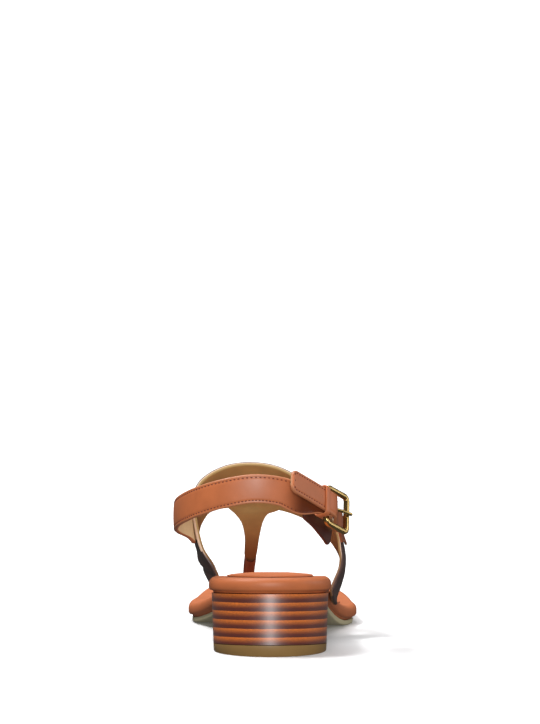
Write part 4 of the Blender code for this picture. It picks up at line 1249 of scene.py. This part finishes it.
def build_straps():
    """Heel strap and buckle strap with their stitching, and the spare hole in the tip."""
    inset = looks().stitch_inset
    finishes = [tan_calf(), painted_edge(), strap_lining()]
    path = strap("heel_strap_band", sling_controls(), (SLING_ROUND, 0.0),
                 [tip_shadowed_calf(), painted_edge(), strap_lining()], "heel_strap", SLING_CROWN,
                 GROOVE, SLING_EDGE)
    whole = path[4][-1]
    runs = [thread_row(path, inset * 1.4, whole - SLING_PLAIN, side) for side in (-1, 1)]
    runs.append(thread_end(path, inset, SLING_WIDTH / 2 - 1.8 * inset))
    stitches("heel_strap_stitches", runs)

    path = strap("buckle_strap_band", tie_controls(), TIE_ROUNDS, finishes, "buckle_strap",
                 TIE_CROWN, GROOVE, TIE_EDGE)
    whole = path[4][-1]
    reach = TIE_WIDTH / 2 - inset
    runs = [thread_row(path, 2.2 * inset, TIP_ROWS, side) for side in (-1, 1)]
    runs += [thread_row(path, TIE_ROWS, whole - 1.6 * inset, side) for side in (-1, 1)]
    runs += [thread_end(path, inset, reach - TIP_SHORT),
             thread_end(path, whole - inset, reach - SEWN_SHORT)]
    stitches("buckle_strap_stitches", runs)
    build_hole(path)


def build_hole(path):
    """Spare punched hole: a shallow dish with painted shade within, whose height over the strap's
    face follows a ring: low in the middle, up to a thin lip and down into the face."""
    line, ahead, aside, out, stations, half, thick = path
    k = int(np.argmin(abs(stations - SPARE_HOLE)))
    centre = line[k] + (thick[k] + 0.00012) * out[k]
    radii = np.array((0.02, 0.55, 0.8, 1.0, 1.2, 1.35)) * HOLE_RADIUS
    heights = np.array((0.02, 0.02, 0.03, 0.10, 0.07, -0.06)) / 1000
    angles = circle(24)
    flat = np.cos(angles)[:, None] * ahead[k] + np.sin(angles)[:, None] * aside[k]
    rings = centre + radii[:, None, None] * flat + heights[:, None, None] * out[k]
    faces = grid_faces(len(radii), 24, close_columns=True)
    # painted shade inside the hole
    dark = skin("punched_hole_shade", linear("#5A220C"), 0.8, ((WRINKLES, 1.0, 0.01),))
    slots = np.repeat([0, 0, 0, 1, 1], 24)
    add_piece("spare_hole", rings.reshape(-1, 3), faces, [dark, painted_edge()], slots)


def build_keeper():
    """Keeper: a flat band with rounded edges carried round a rectangle."""
    _, ahead, up, out = buckle_axes()
    inner = FOLD_OUT - KEEPER_DRIFT - FOLD_THICKNESS / 2
    outer = FOLD_OUT + FOLD_THICKNESS / 2 + GAP + TIE_THICKNESS + KEEPER_SLACK
    clear = KEEPER_THICKNESS / 2 + GAP
    low, high = inner - clear, outer + clear
    half_height = FOLD_WIDTH / 2 + clear + KEEPER_ROOM
    wide_by, away_by = soft_section(circle(24), KEEPER_WIDTH, 0.35, KEEPER_THICKNESS, 0.8)
    rings = loop_rings(by_buckle(-KEEPER_PLACE, (high + low) / 2, -KEEPER_DROP), (out, up),
                       ((high - low) / 2, half_height), KEEPER_CORNER, 9, (away_by, wide_by), ahead)
    tube("keeper_band", rings, [tan_calf()], "keeper_loop", loop=True)


def build_guard():
    """Tongue under the buckle: a short plain strap with a rounded end."""
    # the tongue's face and edges both carry its painted shade
    controls = [(shares(row), UPRIGHT, GUARD_WIDTH, GUARD_THICKNESS) for row in GUARD]
    strap("tongue_under_buckle", controls, GUARD_ROUNDS,
          [shaded_tongue_calf(), shaded_tongue_calf(), strap_lining()], "buckle_guard", GUARD_CROWN, 0.0,
          TIE_EDGE)


def build_floor():
    """Seamless paper: a floor that runs into an upright back through a quarter circle, and out
    beyond the camera."""
    radius, back, front, height, half = 1.2, 2.2, -6.0, 4.0, 5.0
    arc = np.linspace(0, math.pi / 2, 24)
    bend = np.stack([back + radius * np.sin(arc), radius * (1 - np.cos(arc))], axis=1)
    profile = np.concatenate([[(front, 0.0)], bend, [(back + radius, height)]])
    points = [(x, y, z) for y, z in profile for x in (-half, 0.0, half)]
    mesh = bpy.data.meshes.new("paper_sweep")
    mesh.from_pydata(points, [], grid_faces(len(profile), 3).tolist())
    mesh.shade_smooth()
    mesh.materials.append(studio_paper())
    made = bpy.data.objects.new("paper_sweep", mesh)
    made.visible_glossy = made.visible_diffuse = False
    bpy.context.scene.collection.objects.link(made)


def add_softbox(name, place, target, size, power):
    """Rectangular white softbox that faces a target."""
    data = bpy.data.lights.new(name, "AREA")
    data.shape, data.size, data.size_y = "RECTANGLE", *size
    data.energy = power
    made = bpy.data.objects.new(name, data)
    made.location = place
    made.rotation_euler = (Vector(target) - Vector(place)).to_track_quat("-Z", "Y").to_euler()
    bpy.context.scene.collection.objects.link(made)


def build_studio():
    """Paper, softboxes, room light and the camera at the photograph's place."""
    settings = bpy.context.scene.sandal_stage
    build_floor()
    for name, place, size, power in SOFTBOXES:
        add_softbox(name, place, (0.0, 0.05, 0.05), size, getattr(settings, power))
    add_softbox("back_softbox", (0.0, 1.4, 2.8), (0.0, 3.4, 0.9), (4.0, 1.0), settings.back)
    bpy.context.scene.view_settings.view_transform = "Standard"
    world = bpy.data.worlds.new("room")
    world.use_nodes = True
    back = world.node_tree.nodes["Background"]
    back.inputs["Color"].default_value = (1.0, 1.0, 1.0, 1.0)
    back.inputs["Strength"].default_value = settings.room
    bpy.context.scene.world = world
    data = bpy.data.cameras.new("camera")
    data.sensor_width = 36.0
    data.lens = FOCAL_PIXELS / FRAME_HEIGHT * data.sensor_width
    data.clip_start, data.clip_end = 0.05, 50.0
    camera = bpy.data.objects.new("camera", data)
    camera.location = (0.0, -TOP_LIFT_MIDDLE - CAMERA_DISTANCE, CAMERA_HEIGHT)
    camera.rotation_euler = (math.pi / 2 - CAMERA_TILT, 0.0, 0.0)
    bpy.context.scene.collection.objects.link(camera)
    bpy.context.scene.camera = camera


class SANDAL_OT_sole(bpy.types.Operator):
    """Adds the outsole, the wrapped footbed and the inlay"""
    bl_idname = "sandal.sole"
    bl_label = "Sole"
    bl_options = {"REGISTER", "UNDO"}

    def execute(self, context):
        build_outsole()
        build_footbed()
        build_insole()
        return {"FINISHED"}


class SANDAL_OT_heel(bpy.types.Operator):
    """Adds the stacked heel and its tip"""
    bl_idname = "sandal.heel"
    bl_label = "Heel"
    bl_options = {"REGISTER", "UNDO"}

    def execute(self, context):
        build_heel()
        return {"FINISHED"}


class SANDAL_OT_upper(bpy.types.Operator):
    """Adds the T strap and the toe post"""
    bl_idname = "sandal.upper"
    bl_label = "Upper"
    bl_options = {"REGISTER", "UNDO"}

    def execute(self, context):
        build_upper()
        build_post()
        return {"FINISHED"}


class SANDAL_OT_straps(bpy.types.Operator):
    """Adds the sling straps with their stitching"""
    bl_idname = "sandal.straps"
    bl_label = "Straps"
    bl_options = {"REGISTER", "UNDO"}

    def execute(self, context):
        build_straps()
        return {"FINISHED"}


class SANDAL_OT_keeper(bpy.types.Operator):
    """Adds the keeper and the tongue under the buckle"""
    bl_idname = "sandal.keeper"
    bl_label = "Keeper"
    bl_options = {"REGISTER", "UNDO"}

    def execute(self, context):
        build_keeper()
        build_guard()
        return {"FINISHED"}


class SANDAL_OT_buckle(bpy.types.Operator):
    """Adds the buckle's frame and prong"""
    bl_idname = "sandal.buckle"
    bl_label = "Buckle"
    bl_options = {"REGISTER", "UNDO"}

    def execute(self, context):
        build_buckle()
        return {"FINISHED"}


class SANDAL_OT_studio(bpy.types.Operator):
    """Adds the paper, the lights and the camera"""
    bl_idname = "sandal.studio"
    bl_label = "Studio"
    bl_options = {"REGISTER", "UNDO"}

    def execute(self, context):
        build_studio()
        return {"FINISHED"}


OPERATORS = (SANDAL_OT_sole, SANDAL_OT_heel, SANDAL_OT_upper, SANDAL_OT_straps,
             SANDAL_OT_keeper, SANDAL_OT_buckle, SANDAL_OT_studio)


class SANDAL_PT_panel(bpy.types.Panel):
    """Settings and steps of the sandal"""
    bl_label = "T strap sandal"
    bl_idname = "SANDAL_PT_panel"
    bl_space_type = "VIEW_3D"
    bl_region_type = "UI"
    bl_category = "Sandal"

    def draw(self, context):
        for group in (context.scene.sandal_looks, context.scene.sandal_stage):
            for key in group.__annotations__:
                self.layout.prop(group, key)
        for made in OPERATORS:
            self.layout.operator(made.bl_idname)


CLASSES = (SandalLooks, SandalStage, *OPERATORS, SANDAL_PT_panel)


def register():
    for made in CLASSES:
        bpy.utils.register_class(made)
    bpy.types.Scene.sandal_looks = bpy.props.PointerProperty(type=SandalLooks)
    bpy.types.Scene.sandal_stage = bpy.props.PointerProperty(type=SandalStage)


def unregister():
    del bpy.types.Scene.sandal_looks
    del bpy.types.Scene.sandal_stage
    for made in reversed(CLASSES):
        bpy.utils.unregister_class(made)


def main():
    """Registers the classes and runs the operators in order."""
    register()
    bpy.ops.sandal.sole()
    bpy.ops.sandal.heel()
    bpy.ops.sandal.upper()
    bpy.ops.sandal.straps()
    bpy.ops.sandal.keeper()
    bpy.ops.sandal.buckle()
    bpy.ops.sandal.studio()


if __name__ == "__main__":
    main()
